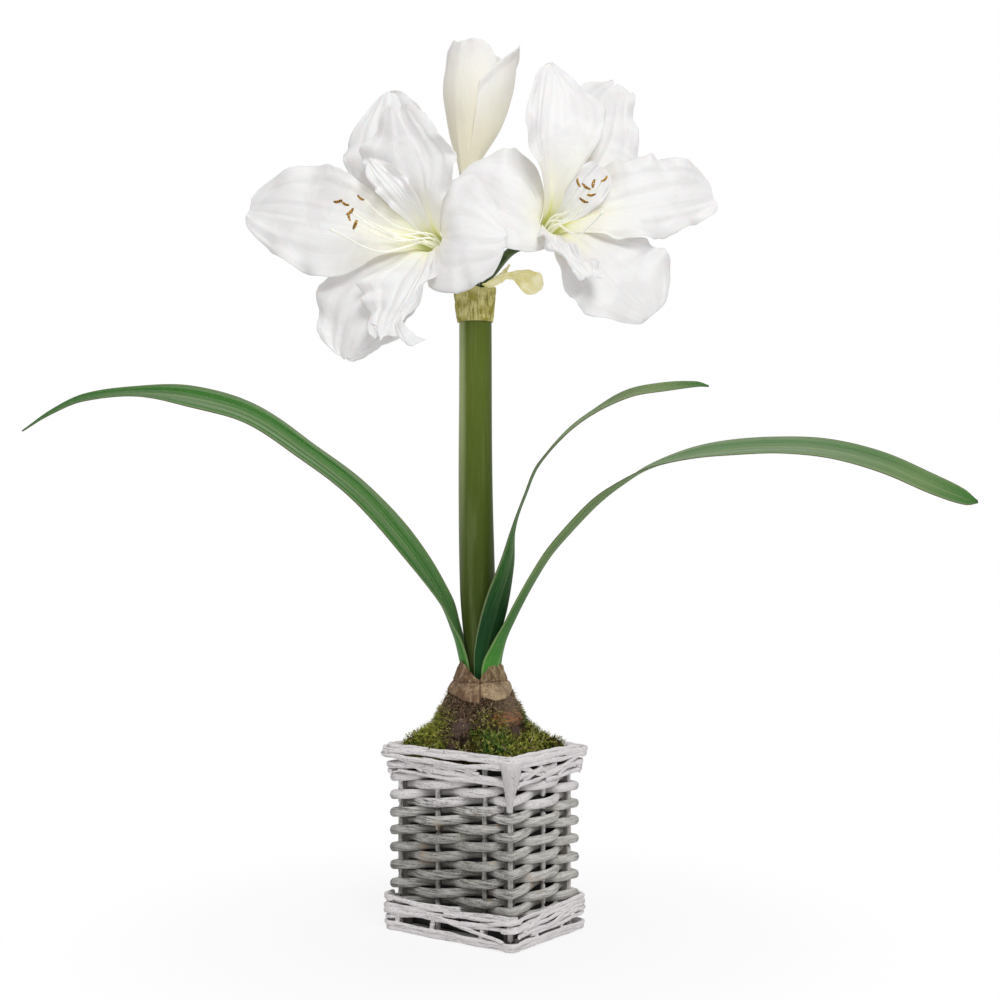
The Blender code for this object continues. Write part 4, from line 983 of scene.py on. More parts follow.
def scatterRecipe():
    # stands copies of a sprig on a surface, where "cover" lets it
    recipe = Recipe("mossScatter", Sprig="Object", Density="Float", Seed="Int", Low="Float",
                    High="Float", ToneLow="Float", ToneHigh="Float", Tilt="Float")
    seed, tilt = recipe.given("Seed"), recipe.given("Tilt")
    points = recipe.node("GeometryNodeDistributePointsOnFaces", {
        "Mesh": recipe.given("Geometry"), "Density": recipe.named("cover") * recipe.given("Density"),
        "Seed": seed}, distribute_method="RANDOM")

    def drawn(kind, tail, low, high, step):
        return recipe.node("FunctionNodeRandomValue", {
            "Min" + tail: low, "Max" + tail: high, "Seed": seed + step}, "Value" + tail, data_type=kind)

    lean = drawn("FLOAT_VECTOR", "", recipe.vector(0 - tilt, 0 - tilt, -3.1),
                 recipe.vector(tilt, tilt, 3.1), 3)
    rotation = recipe.node("FunctionNodeRotateRotation", {
        0: points.out("Rotation"), 1: recipe.node("FunctionNodeEulerToRotation", {0: lean})},
        rotation_space="LOCAL")
    sprig = recipe.node("GeometryNodeObjectInfo", {"Object": recipe.given("Sprig")}, "Geometry")
    copies = recipe.node("GeometryNodeInstanceOnPoints", {
        "Points": points, "Instance": sprig, "Rotation": rotation,
        "Scale": drawn("FLOAT", "_001", recipe.given("Low"), recipe.given("High"), 5)})
    tone = drawn("FLOAT", "_001", recipe.given("ToneLow"), recipe.given("ToneHigh"), 7)
    recipe.end(recipe.store(copies, "tone", tone, "INSTANCE"))
    return recipe


def buildBulb():
    ring = 220
    angles = circle(ring)
    verts, low, top = [], bulb["outline"][0][1], bulb["outline"][-1][1]
    for z in (*np.linspace(low, 0.128, 10), *np.linspace(0.130, top, 100)):
        radius = bulbRadius(z)
        for a in angles:
            at = Vector((math.cos(a) * radius, math.sin(a) * radius, z))
            strands = lump(at.x * 260, at.y * 260, at.z * 90)
            flakes = lump(at.x * 700, at.y * 700, at.z * 420)
            scar = lump(at.x * 60, at.y * 60, at.z * 240)
            push = bulb["barkDepth"] * (0.6 * strands + 0.45 * flakes + 0.5 * scar + 0.4)
            push = 1 + push * smoothstep((bulb["smoothAbove"] - z) / 0.006) / radius
            verts.append((at.x * push + bulbMiddle.x, at.y * push + bulbMiddle.y, z))
    for z in (top, bulb["neckFloor"]):
        verts += [(math.cos(a) * bulb["neckInside"] + bulbMiddle.x,
                   math.sin(a) * bulb["neckInside"] + bulbMiddle.y, z) for a in angles]
    piece = meshPiece("bulbBark", verts, tube(112, ring), bark)
    dress(piece, "bulb_skin", "bulb")
    return piece


# Two papery lobes meet in front below a notch; each edge gives shares of the way round to the back.
tunics = {
    "left": {"hand": -1, "meet": 0.0007,
             "tops": ((0, 0.1812), (0.06, 0.1826), (0.15, 0.1876), (0.265, 0.1923), (0.35, 0.1940),
                      (0.42, 0.1905), (0.55, 0.1880), (1, 0.1872)),
             "bottoms": ((0, 0.1648), (0.1, 0.1664), (0.25, 0.1698), (0.4, 0.1716), (0.6, 0.1730),
                         (1, 0.1720))},
    "right": {"hand": 1, "meet": 0.0011,
              "tops": ((0, 0.1812), (0.05, 0.1855), (0.14, 0.1908), (0.24, 0.1928), (0.42, 0.1912),
                       (0.52, 0.1882), (1, 0.1872)),
              "bottoms": ((0, 0.1696), (0.06, 0.1690), (0.14, 0.1672), (0.25, 0.1680), (0.4, 0.1722),
                          (0.5, 0.1742), (0.7, 0.1740), (1, 0.1720))},
}
crease, neckFrom, tunicThick = 0.1796, 0.1785, 0.0006
# height and radius of the neck
neck = np.array(((0.1796, 0.0198), (0.1830, 0.0180), (0.1870, 0.0168), (0.1940, 0.0156)))


def buildTunic(side, seed):
    facts, part = tunics[side], np.linspace(0, 1, 120)
    bearing = np.radians(-90 + facts["hand"] * (-1.0 + 181 * part))
    ragged, jag = lumps(part * 9, seed * 5.0, 0), lumps(part * 30, seed * 5.0, 3)
    fresh = smoothstep(part / 0.06)
    high = np.interp(part, *np.array(facts["tops"]).T) + 0.0005 * (ragged + jag) * fresh
    low = np.interp(part, *np.array(facts["bottoms"]).T) + 0.0007 * ragged + 0.0006 * jag
    cheek = np.where(part < 0.34, np.sin(math.pi * np.minimum(part / 0.34, 1)) ** 0.7, 0)
    z = low + (high - low) * np.linspace(0, 1, 70)[:, None]
    belly = np.clip((z - low) / (crease - low), 0, 1)
    shell = np.sin(math.pi * np.minimum(belly * 1.15 + 0.08, 1)) ** 0.7
    radius = np.maximum(np.where(z < crease, bulbRadius(z) + 0.0008, 0),
                        np.where(z > neckFrom, np.interp(z, *neck.T), 0))
    radius += (0.0007 + 0.0013 * cheek) * shell - 0.0008 * np.exp(-((z - crease) / 0.0008) ** 2)
    wrinkle = lumps(bearing * 7, z * 60 + part * 6, seed * 4.0) * smoothstep((z - crease) / 0.003)
    crumple = lumps(bearing * 16, z * 260, seed * 4.0 + 2)
    tuck = smoothstep((part - 0.5) / 0.25) * smoothstep((z - 0.181) / 0.005)
    radius += 0.0009 * wrinkle + 0.0004 * crumple - facts["meet"] * (1 - fresh) - 0.0026 * tuck
    x, y = bulbMiddle.x + radius * np.cos(bearing), bulbMiddle.y + radius * np.sin(bearing)
    grid = np.stack((x, y, z), -1)[:, ::facts["hand"]]
    dress(blade("tunicLobe" + side.title(), grid, tunicThick, tunicPaper), "bulb_tunic",
          "bulb_tunic_" + side)


def buildFilling():
    bed = buildMound()
    skin = buildBulb()
    for seed, side in enumerate(tunics):
        buildTunic(side, seed)
    mark(bed.data, cover=placesOf(bed.data)[:, 2] > 0.126)
    x, y, z = placesOf(skin.data).T
    # moss climbs the bulb between the bare strips, and dry threads hang from there up to the tunics
    bearing = np.degrees(np.arctan2(y - bulbMiddle.y, x - bulbMiddle.x))
    bare = np.max([smoothstep(1.5 - abs(bearing - m) / h) for m, h, _ in mound["bareStrips"]], axis=0)
    climb = 0.163 + 0.004 * lumps(bearing * 0.05, 0, 0)
    mossy = (1 - bare) * smoothstep((climb - z) / 0.006) * smoothstep((z - 0.134) / 0.004)
    threads = (0.12 + smoothstep((z - 0.150) / 0.008)) * smoothstep((0.175 - z) / 0.005)
    shapes = {"sprig": sprigMesh("sprigShape", 4, 0.060, 0.35, 5),
              "curl": sprigMesh("curlShape", 5, 0.070, 0.9, 0)}
    scatter = scatterRecipe()
    dress(bed, "moss", "moss")
    for name, shape, density, seed, low, high, toneLow, toneHigh, tilt in mound["growth"]:
        ground = (bed if name in ("mossSprigs", "mossCurls") else skin).data.copy()
        if name in ("barkFibres", "climbingMoss"):
            mark(ground, cover=threads if name == "barkFibres" else mossy)
        piece = scatter.grow(name, ground, Sprig=shapes[shape], Density=density, Seed=seed, Low=low,
                             High=high, ToneLow=toneLow, ToneHigh=toneHigh, Tilt=tilt,
                             Material=moss.material)
        dress(piece, "moss")
    for shape in shapes.values():
        bpy.data.objects.remove(shape, do_unlink=True)
    for node, finish in (("liner", plastic), ("soil", soilBrown), ("basket_base", willow)):
        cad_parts[node].data.materials.clear()
        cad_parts[node].data.materials.append(finish.material)


buildFilling()
print("bulb bedded in moss")


# Stations along a leaf, in millimetres from the stem's foot: centre, width, roll in degrees (90 lays
# the blade flat, 0 stands it on edge) and gutter, as curves per metre. Each leaf carries a share of
# painted shade for its lower part, and "pale", painted light: a share between two heights.
leaves = {
    "left": {"hand": -1, "dusk": 0.06, "pale": (0.0, 0.300, 1.0), "stations": (
        (-11.2, -1, 177.9, 22.5, 94, 80), (-12.2, -1, 190, 23.5, 94, 76),
        (-14.8, -0.6, 203, 25, 90, 66), (-18.4, -0.6, 217, 26, 82, 56), (-24, -1.5, 236, 26, 71, 48),
        (-51.5, -8, 276.8, 25, 52, 30), (-83.5, -16, 313.3, 24, 52, 24),
        (-120.7, -24, 342.9, 23, 54, 22), (-160.7, -30, 369.4, 23, 50, 20),
        (-201.4, -34, 381.1, 22.5, 47, 24), (-239.4, -36, 384.4, 19, 64, 34),
        (-275.7, -36, 380.2, 14, 62, 40), (-297.4, -36, 370.5, 9.5, 60, 40),
        (-318.3, -36, 357.2, 2, 60, 40))},
    "middle": {"hand": 1, "dusk": 0.85, "pale": (0.45, 0.320, 1.0), "stations": (
        (5.4, -10.1, 177.9, 17, 158, 92), (5.4, -10.5, 189, 18, 158, 88),
        (5.8, -11, 200, 18.5, 156, 78), (13.4, -16, 234.4, 21.5, 145, 40),
        (21.5, -15, 265, 18, 125, 40), (26.2, -11, 293.3, 14, 96, 48),
        (33.2, -6, 312.6, 11.5, 94, 44), (42.8, -2, 334.2, 11, 92, 36), (64.6, 4, 358.8, 11, 80, 30),
        (84.4, 8, 373.5, 11.5, 72, 28), (109.3, 12, 386.1, 13.5, 62, 28),
        (134.4, 16, 391.4, 12.5, 56, 28), (159.5, 18, 393.8, 8, 56, 28), (168.2, 18, 392.3, 2, 56, 28))},
    "right": {"hand": 1, "dusk": 0.0, "pale": (0.36, 0.225, 0.348), "stations": (
        (12.7, -9.6, 177.9, 25, 128, 69), (13.2, -9.8, 190, 25, 126, 69),
        (16.4, -9.8, 202, 24, 114, 62), (20.8, -10.8, 215, 23, 106, 54),
        (29, -15, 234.5, 21.5, 104, 50), (47.3, -20, 266.6, 21, 103, 46),
        (62, -25, 285.1, 21, 105, 44), (82.2, -30, 306.5, 20.5, 106, 40),
        (98.8, -33, 319.5, 19, 100, 36), (117.5, -36, 331.3, 19, 86, 32),
        (146.3, -40, 340.3, 22, 72, 26), (175.2, -43, 344.8, 24, 63, 22),
        (210.1, -46, 346.4, 24.5, 59, 20), (245, -48, 343.6, 25.5, 55, 18),
        (279.5, -50, 334.5, 25, 50, 18), (313.7, -52, 319.3, 22.5, 48, 20),
        (335.5, -53, 310.4, 16, 46, 22), (344.5, -53, 307.6, 3, 46, 22))},
}
strap = {"thick": 0.0013, "taper": 0.0005, "waver": 0.0007, "groove": 0.0005}


def stationRows(stations, count):
    # evenly spaced rows in metres: centres, directions, widths and what else the stations carry
    stations = np.array(stations, float)
    stations[:, :4] /= 1000
    line = smoothLine(stations, count)
    return line[:, :3], directions(line[:, :3]), line[:, 3], line[:, 4:].T


def curledGrid(centres, side, inward, half, curl, stretch, lift):
    # rows bent to a gutter about their centres: how wide, how curled, how stretched and how far lifted
    bend = np.linspace(-1, 1, lift.shape[1]) * half[:, None] * curl[:, None]
    out = np.sin(bend) / curl[:, None] * stretch
    lift = (1 - np.cos(bend)) / curl[:, None] + lift
    return ((centres + plant)[:, None] + side[:, None] * out[..., None]
            + inward[:, None] * lift[..., None])


def buildLeaf(name, facts, seed):
    rows = 150
    centres, along, width, (roll, gutter) = stationRows(facts["stations"], rows)
    depth = np.array((0.0, 1.0, 0.0))
    upper = unit(np.cross(along, depth) * facts["hand"])
    across = unit(depth - along * (along @ depth)[:, None])
    turn = np.radians(roll)[:, None]
    half = np.maximum(width, 0.0012) / 2
    sag = (1 - np.cos(half * gutter)) / gutter * smoothstep((centres[:, 2] - 0.205) / 0.03)
    part, share = gridOf(rows, 25)
    waver = lumps(part * 9, share * 0.8, seed) * strap["waver"] * share ** 2 * smoothstep(part / 0.2)
    groove = strap["groove"] * np.exp(-(share / 0.10) ** 2)
    grid = curledGrid(centres, upper * np.cos(turn) + across * np.sin(turn),
                      upper * np.sin(turn) - across * np.cos(turn), half, gutter, 1.0,
                      waver - groove - sag[:, None] / 2)
    thick = strap["thick"] - strap["taper"] * part
    piece = blade("leaf" + name.title(), grid, thick, leafGreen, edge=0.35)
    height = placesOf(piece.data)[:, 2]
    share, low, high = facts["pale"]
    # painted shade on the lower part of each leaf
    mark(piece.data, dusk=facts["dusk"] * smoothstep((0.300 - height) / 0.08),
         # painted light where "pale" is high
         pale=share * smoothstep((height - low) / 0.05) * smoothstep((high - height) / 0.03))
    dress(piece, "leaf_green", "leaf_" + name)


for number, (name, facts) in enumerate(leaves.items()):
    buildLeaf(name, facts, number * 7.3)
print("leaves grown")

stem = {
    # millimetres, then radius
    "line": ((1.4, 0, 178.0, 9.4), (1.3, 0, 190, 9.8), (0.3, 0, 215, 11.6), (-0.8, 0, 245, 12.7),
             (-1.8, 0, 310, 12.3), (-2.2, 0, 380, 11.8), (-2.5, 0, 461, 11.6)),
    "flutes": 6, "fluteDepth": 0.006, "collarLow": 0.4370, "collarHigh": 0.4612, "collarThick": 0.0008,
    "bractThick": 0.0007, "sway": 0.0002, "torn": 0.0022, "slack": 0.0010, "pleat": 0.0028,
}
stemTop, stemRadius = np.array(stem["line"][-1][:3]) / 1000, stem["line"][-1][3] / 1000
# stations in millimetres: centre, width and curl, as curves per metre
bracts = {
    "right": ((7.2, -7.4, 460.8, 14, 76), (12, -10.6, 464.2, 11, 50), (19, -12.6, 467.6, 7.5, 60),
              (25, -13.6, 468.4, 8, 50), (31, -14, 466.6, 13, 40), (37, -14, 463.8, 18, 40),
              (42.5, -14, 461.8, 16, 40), (46, -13.4, 460.8, 4, 40)),
    "back": ((6.2, 8.2, 461.8, 12, 76), (13, 10, 468.6, 8, 50), (19, 11, 475, 5, 40),
             (22.5, 11, 480, 2, 40)),
}


def buildStem():
    rows = 90
    line = smoothLine(np.array(stem["line"]) / 1000, rows)
    line[:, :3] += plant
    line[:, 0] += stem["sway"] * np.sin(np.linspace(0, 9, rows))
    dress(rod("flowerStem", line[:, :3], line[:, 3], 72, scapeGreen, stem["flutes"], stem["fluteDepth"]),
          "scape_green", "scape")


def buildCollar():
    columns, rows = 150, 40
    turn, part = circle(columns), np.linspace(0, 1, rows)[:, None]
    x, y = np.cos(turn), np.sin(turn)
    top = stem["collarHigh"] + stem["torn"] * lumps(x * 2.4, y * 2.4, 3)
    z = stem["collarLow"] + (top - stem["collarLow"]) * part
    pleat = np.abs(lumps(x * 7, y * 7, part * 1.2)) * (0.35 + part)
    radius = (stemRadius + stem["slack"] + stem["pleat"] * pleat
              + 0.0005 * lumps(x * 22, y * 22, part * 3) + 0.0006 * part
              - 0.0004 * np.exp(-(part / 0.12) ** 2))
    grid = np.stack((radius * x, radius * y, z), -1) + (stemTop + plant) * (1, 1, 0)
    grid = np.concatenate((grid, grid[:, :1]), axis=1)
    piece = blade("spatheCollar", grid, stem["collarThick"], collarPaper, edge=0.9)
    dress(piece, "spathe", "spathe_collar")


def buildBract(name, stations, seed):
    rows = 60
    centres, along, width, (curl,) = stationRows(stations, rows)
    first = unit(centres[0] - stemTop)
    inward = np.array((-first[0], -first[1], 0.6))
    inward = unit(inward - along * (along @ inward)[:, None])
    part, share = gridOf(rows, 23)
    ragged = 1 + 0.18 * lumps(part * 7, share * 3, seed) * np.abs(share)
    crumple = 0.0009 * lumps(part * 16, share * 5, seed + 4)
    grid = curledGrid(centres, np.cross(along, inward), inward, width / 2, curl, ragged, crumple)
    dress(blade("spatheBract" + name.title(), grid, stem["bractThick"], bractPaper), "spathe_bract",
          "spathe_bract_" + name)


buildStem()
buildCollar()
for number, (name, stations) in enumerate(bracts.items()):
    buildBract(name, stations, number * 5.1)
print("stem and spathe made")

# The trumpet all tepals of a flower lie on: distance from its axis and height along it, in millimetres.
trumpet = {
    "profile": ((5, -1.5), (6.6, 10), (9, 22), (13, 30.5), (21, 39), (33, 46), (48, 50), (64, 51.5),
                (80, 50.5), (96, 48), (112, 44), (130, 38), (150, 30)),
    "root": 0.0050, "whorlStep": 0.0016, "setback": 0.0045, "thick": 0.0008, "edge": 0.35,
}
# A tepal leaves at "azimuth" and ends at "tip", both in degrees counter-clockwise from the right,
# seen facing the flower. Reach and rise are in millimetres; rise lifts its tip off the trumpet. Its
# outline is share of its length, then how far it spreads counter-clockwise and clockwise of its midrib.
flowers = {
    "left": {
        "base": (-26, -3, 488.5), "axis": (-0.38, -0.91, 0.17), "tepals": {
            "west": {"azimuth": 178, "tip": 172, "reach": 128, "inner": True, "rise": 22,
                "outline": ((0.3, 16, 16), (0.4, 28, 28), (0.5, 37, 37), (0.6, 40, 41), (0.7, 35, 40),
                (0.8, 30, 34), (0.9, 22, 26), (0.96, 15, 18), (1, 6, 8))},
            "north_west": {"azimuth": 120, "tip": 108, "reach": 116, "inner": False, "rise": -6,
                "outline": ((0.4, 20, 22), (0.5, 27, 28), (0.6, 33, 30), (0.7, 36, 30), (0.8, 33, 26),
                (0.9, 18, 16), (1, 0, 0))},
            "north_east": {"azimuth": 70, "tip": 97, "reach": 84, "inner": True, "rise": 14,
                "ruffle": 1, "pleat": 0.6, "ragged": 4, "front": 2.5, "outline": ((0.3, 10, 10),
                (0.4, 24, 12), (0.5, 40, 15), (0.6, 48, 26), (0.7, 44, 29), (0.8, 32, 22),
                (0.9, 19, 20), (0.97, 13, 15), (1, 8, 9))},
            "east": {"azimuth": 0, "tip": -4, "reach": 64, "inner": False, "rise": -22,
                "wrap": 1.5, "front": 7, "ruffle": 0.4, "outline": ((0.3, 8, 9), (0.4, 20, 24),
                (0.45, 29, 36), (0.5, 35, 44), (0.6, 43, 44), (0.7, 38, 40), (0.8, 28, 35),
                (0.9, 16, 27), (0.97, 8, 16), (1, 0, 0))},
            "south_west": {"azimuth": 240, "tip": 242, "reach": 101, "inner": False, "rise": 0,
                "ragged": 3, "pleat": 1.6, "outline": ((0.4, 22, 26), (0.5, 28, 36), (0.6, 32, 42),
                (0.7, 33, 45), (0.8, 29, 41), (0.9, 19, 34), (0.97, 10, 25), (1, 0, 10))},
            "south_east": {"azimuth": 286, "tip": 262, "reach": 82, "inner": True, "rise": 10,
                "ruffle": 1.6, "pleat": 1.7, "ragged": 6, "outline": ((0.3, 9, 10), (0.4, 14, 26),
                (0.5, 13, 42), (0.6, 13, 41), (0.7, 11, 32), (0.8, 9, 24), (0.9, 12, 16),
                (0.96, 23, 11), (1, 34, 5))}},
        "fold": {"azimuth": 110, "tip": 122, "reach": 56, "inner": True, "rise": 8, "front": 6,
            "keel": 4, "outline": ((0.4, 7, 7), (0.55, 11, 10), (0.7, 12, 11), (0.85, 9, 9),
            (0.95, 5, 5), (1, 0, 0))},
        "anthers": ((-94.5, -70, 512), (-89, -72, 510), (-86, -74, 504), (-85.5, -78, 500),
            (-82.5, -74, 495), (-79, -66, 515)),
        "stigma": (-98, -86, 490)},
    "right": {
        "base": (46, 0, 498), "axis": (0.32, -0.9, 0.28), "tepals": {
            "east": {"azimuth": 0, "tip": 9, "reach": 119, "inner": True, "rise": 4,
                "ruffle": 1.5, "nick": 2, "outline": ((0.3, 16, 14), (0.4, 33, 21), (0.5, 38, 24),
                (0.6, 38, 25), (0.7, 36, 24), (0.8, 31, 22), (0.9, 26, 18), (0.97, 19, 14),
                (1, 9, 7))},
            "north_east": {"azimuth": 60, "tip": 62, "reach": 128, "inner": False, "rise": -6,
                "ragged": 3, "outline": ((0.3, 14, 14), (0.4, 22, 24), (0.5, 26, 31), (0.6, 30, 34),
                (0.7, 31, 28), (0.8, 28, 21), (0.9, 19, 18), (0.97, 10, 16), (1, 5, 13))},
            "north_west": {"azimuth": 104, "tip": 90, "reach": 112, "inner": True, "rise": 6,
                "keel": 7, "ruffle": 0.7, "outline": ((0.3, 8, 9), (0.4, 13, 24), (0.5, 18, 35),
                (0.6, 22, 40), (0.7, 20, 39), (0.8, 17, 30), (0.87, 15, 17), (0.92, 12, 9),
                (0.97, 7, 5), (1, 0, 0))},
            "west": {"azimuth": 180, "tip": 152, "reach": 74, "inner": False, "rise": -28,
                "wrap": 1.2, "ruffle": 0.6, "outline": ((0.3, 10, 10), (0.4, 28, 34), (0.5, 33, 52),
                (0.6, 34, 49), (0.7, 28, 42), (0.8, 22, 32), (0.9, 14, 20), (0.97, 6, 10),
                (1, 0, 0))},
            "south_east": {"azimuth": 300, "tip": 308, "reach": 95, "inner": False, "rise": -4,
                "outline": ((0.3, 12, 13), (0.4, 22, 26), (0.5, 31, 32), (0.6, 38, 37), (0.7, 43, 40),
                (0.8, 42, 36), (0.9, 33, 25), (0.96, 24, 16), (1, 12, 7))},
            "south_west": {"azimuth": 240, "tip": 272, "reach": 60, "inner": True, "rise": 14,
                "ruffle": 1.6, "pleat": 2, "ragged": 4, "outline": ((0.3, 8, 8), (0.5, 11, 10),
                (0.6, 14, 12), (0.7, 16, 12), (0.8, 17, 10), (0.9, 14, 8), (1, 5, 4))}},
        "fold": {"azimuth": 44, "tip": 50, "reach": 40, "inner": True, "rise": 4, "front": 4,
            "ruffle": 0.4, "outline": ((0.4, 6, 8), (0.55, 9, 13), (0.7, 11, 16), (0.85, 11, 16),
            (0.95, 8, 12), (1, 4, 6))},
        "anthers": ((69, -72, 524), (74, -74, 521), (79, -73, 523), (86, -70, 527),
            (72, -78, 511), (77, -78, 515)),
        "stigma": (84, -94, 500)},
}
petal = {"ruffle": 0.0034, "waves": 4.6, "groove": 0.0010, "pleat": 0.0005, "nick": 0.035, "wrap": 0.42,
         "rows": 92, "columns": 61}
curve = smoothLine([(r / 1000, z / 1000, 0) for r, z in trumpet["profile"]], 400)


def trumpetHeight(distance, spec):
    outer = 0.0 if spec["inner"] else 1.0
    height = np.interp(distance - outer * trumpet["whorlStep"], curve[:, 0], curve[:, 1])
    height = height - outer * trumpet["setback"] * smoothstep((distance - 0.010) / 0.022)
    out = np.maximum((distance - 0.015) / (spec["reach"] / 1000 - 0.015), 0.0)
    return height + spec["rise"] / 1000 * out ** 1.4


def spreads(spec, shares, root):
    # how far a tepal reaches to each side of its midrib, row by row
    stations = np.array(((0.0, root * 860, root * 860), *spec["outline"])) / (1, 1000, 1000)
    return [np.maximum(eased(np.interp(-np.sqrt(1 - shares), -np.sqrt(1 - stations[:, 0]),
                                       stations[:, side]), 4), 0.0008) for side in (1, 2)]


def tepalGrid(flower, spec, seed):
    base, axis, up, right = flower
    part, line = gridOf(petal["rows"], petal["columns"])
    root = trumpet["root"] + (0.0 if spec["inner"] else trumpet["whorlStep"])
    reach = spec["reach"] / 1000
    narrow = root + 0.008
    path = np.concatenate((np.linspace(root, narrow, 40), np.linspace(narrow, reach, 200)[1:]))
    travelled = np.cumsum((0.0, *np.hypot(np.diff(path), np.diff(trumpetHeight(path, spec)))))
    share = 1 - (1 - part[:, 0]) ** 1.25
    distance = np.interp(share * travelled[-1], travelled, path)
    opened = smoothstep((distance - 0.0095) / 0.020)
    swept = smoothstep((distance - 0.010) / (reach - 0.010))
    most = distance * (0.80 + spec.get("wrap", petal["wrap"]) * opened)
    onward, back = (np.minimum(wide, most)[:, None] for wide in spreads(spec, share, root))
    share, distance, opened, swept = (values[:, None] for values in (share, distance, opened, swept))
    azimuth = np.radians(spec["azimuth"] + (spec["tip"] - spec["azimuth"]) * swept)
    bent = np.abs(line)
    nick = lumps(share * 11, line * 1.5 + seed, seed)
    teeth = lumps(share * 34, line * 2.0 + seed, seed + 7)
    slow = lumps(share * 3.2, line * 1.1 + seed, 2.0)
    fold = lumps(share * 1.6, line * 3.4 + seed, 5.0)
    nicked = petal["nick"] * spec.get("nick", 1.0) * (nick + teeth * 0.5)
    across = line * np.where(line > 0, onward, back) * (1 + nicked * opened * bent)
    turn = (1 - opened) * across / distance + opened * np.arctan2(across, distance)
    out = (1 - opened) * distance + opened * np.hypot(distance, across)
    out = out + spec.get("ragged", 0.0) / 1000 * (fold + teeth * 0.6) * share ** 8
    calm = 1 - 0.6 * smoothstep((share - 0.82) / 0.18)
    phase = math.tau * petal["waves"] * share + seed * 2.1
    ruffle = np.sin(phase + line * 1.3 + slow * 3.0) * spec.get("ruffle", 1.0) * petal["ruffle"]
    pleat = spec.get("pleat", 1.0) * petal["pleat"] * calm
    keel = spec.get("keel", 0.0) * bent * (1 - share ** 5)
    height = trumpetHeight(out, spec) + opened * (
        ruffle * bent ** 2.5 * smoothstep((share - 0.2) / 0.3) * calm + slow * 0.004
        - petal["groove"] * np.exp(-(line / 0.07) ** 2) * (1 - share ** 3)
        + pleat * (np.cos(line * math.pi * 5 + fold * 4) + fold * 2)
        + (keel + spec.get("front", 0.0)) / 1000)
    return around(base + axis * height[..., None], right, up, azimuth + turn, out)


def buildTepal(name, flower, spec, seed, *nodes):
    dress(blade(name, tepalGrid(flower, spec, seed), trumpet["thick"], tepalWhite, edge=trumpet["edge"]),
          "tepal_white", *nodes)


def flowerFrame(facts):
    axis = unit(facts["axis"])
    up = unit(np.array((0.0, 0.0, 1.0)) - axis * axis[2])
    return fromStem(facts["base"]), axis, up, np.cross(up, axis)


stamens = {"podLong": 0.0072, "podThick": 0.0011, "podBow": 0.0009, "knee": 0.026, "droop": 0.006,
           "thread": (0.0008, 0.00042), "style": (0.0009, 0.00055), "styleTip": (0.0008, 0.0011, 0.0009),
           "styleDroop": 0.011}


def anther(name, place, along, finish):
    # a curved pollen pod with a seam down each side
    side = unit(np.cross(along, (0.3, 0.2, 0.93)))
    other = np.cross(along, side)
    part, turn = gridOf(15, 1)[0], circle(14)
    dome = np.maximum(1 - (2 * part - 1) ** 2, 0.0)
    seams = sum(np.exp(-((turn - math.pi * half) / 0.35) ** 2) for half in (0.5, 1.5))
    wide = (stamens["podThick"] * np.sqrt(dome) ** 0.8 + 0.00004) * (1 - 0.28 * seams)
    middle = place + along * stamens["podLong"] * (part - 0.5) + other * stamens["podBow"] * dome
    verts = around(middle[:, None], side, other * 0.85, turn, wide)
    return meshPiece(name, verts, tube(15, 14), finish)


def buildStamens(name, facts, flower):
    base, axis, up, right = flower
    ends = [fromStem(end) for end in facts["anthers"]]
    middle = sum(ends) / len(ends)
    ends.sort(key=lambda end: math.atan2((end - middle) @ right, (middle - end) @ up) % math.tau)

    def filament(name, foot, bend, end, droop, radii, sides):
        knee = base + axis * stamens["knee"] + bend
        line = smoothLine([base + foot, knee, (knee + end) / 2 - (0, 0, droop), end], len(radii))
        return rod(name, line, radii, sides, filamentWhite)

    pieces = []
    for number, end in enumerate(ends):
        spoke = around(np.zeros(3), right, up, math.tau * (number + 0.5) / 6 - math.pi / 2, 1.0)
        pieces.append(filament(f"filament{number}", axis * 0.0010 + spoke * 0.0024, spoke * 0.0040, end,
                               stamens["droop"], np.linspace(*stamens["thread"], 36), 10))
        lean = unit(np.cross(axis, spoke) * 0.7 + up * 0.5 + right * 0.4)
        pieces.append(anther(f"anther{number}", end, lean, pollen))
    dress(joinPieces("stamens" + name.title(), pieces), "stamen", f"flower_{name}_stamens")
    radii = np.linspace(*stamens["style"], 44)
    radii[-3:] = stamens["styleTip"]
    style = filament("styleOf" + name.title(), axis * 0.0003, up * -0.0020, fromStem(facts["stigma"]),
                     stamens["styleDroop"], radii, 12)
    dress(style, "tepal_white", f"flower_{name}_style")


stalks = {
    "radius": 0.0032, "swell": 0.0014, "flare": 0.0010,
    "left": ((-8.5, -4, 461.3), (-10, -3.5, 469), (-16, -1, 479)),
    "right": ((4, -3.5, 461.3), (10.5, -2, 473), (25, 6, 490)),
    "bud": ((-2.5, 6.5, 461.3), (-4, 9, 490), (-7.2, 10, 520)),
}


def buildStalk(name, end, facing):
    foot, *rest = fromStem(stalks[name])
    line = smoothLine([foot, foot + (0, 0, 0.003), *rest, end - facing * 0.0060, end], 44)
    left = np.linspace(1, 0, 44) * np.linalg.norm(np.diff(line, axis=0), axis=1).sum()
    radii = (stalks["radius"] + stalks["swell"] * np.exp(-((left - 0.008) / 0.006) ** 2)
             + stalks["flare"] * smoothstep((0.004 - left) / 0.004))
    dress(rod("stalk" + name.title(), line, radii, 30, stalkGreen, flutes=3, fluteDepth=0.05),
          "pedicel_green", "pedicel_" + name)


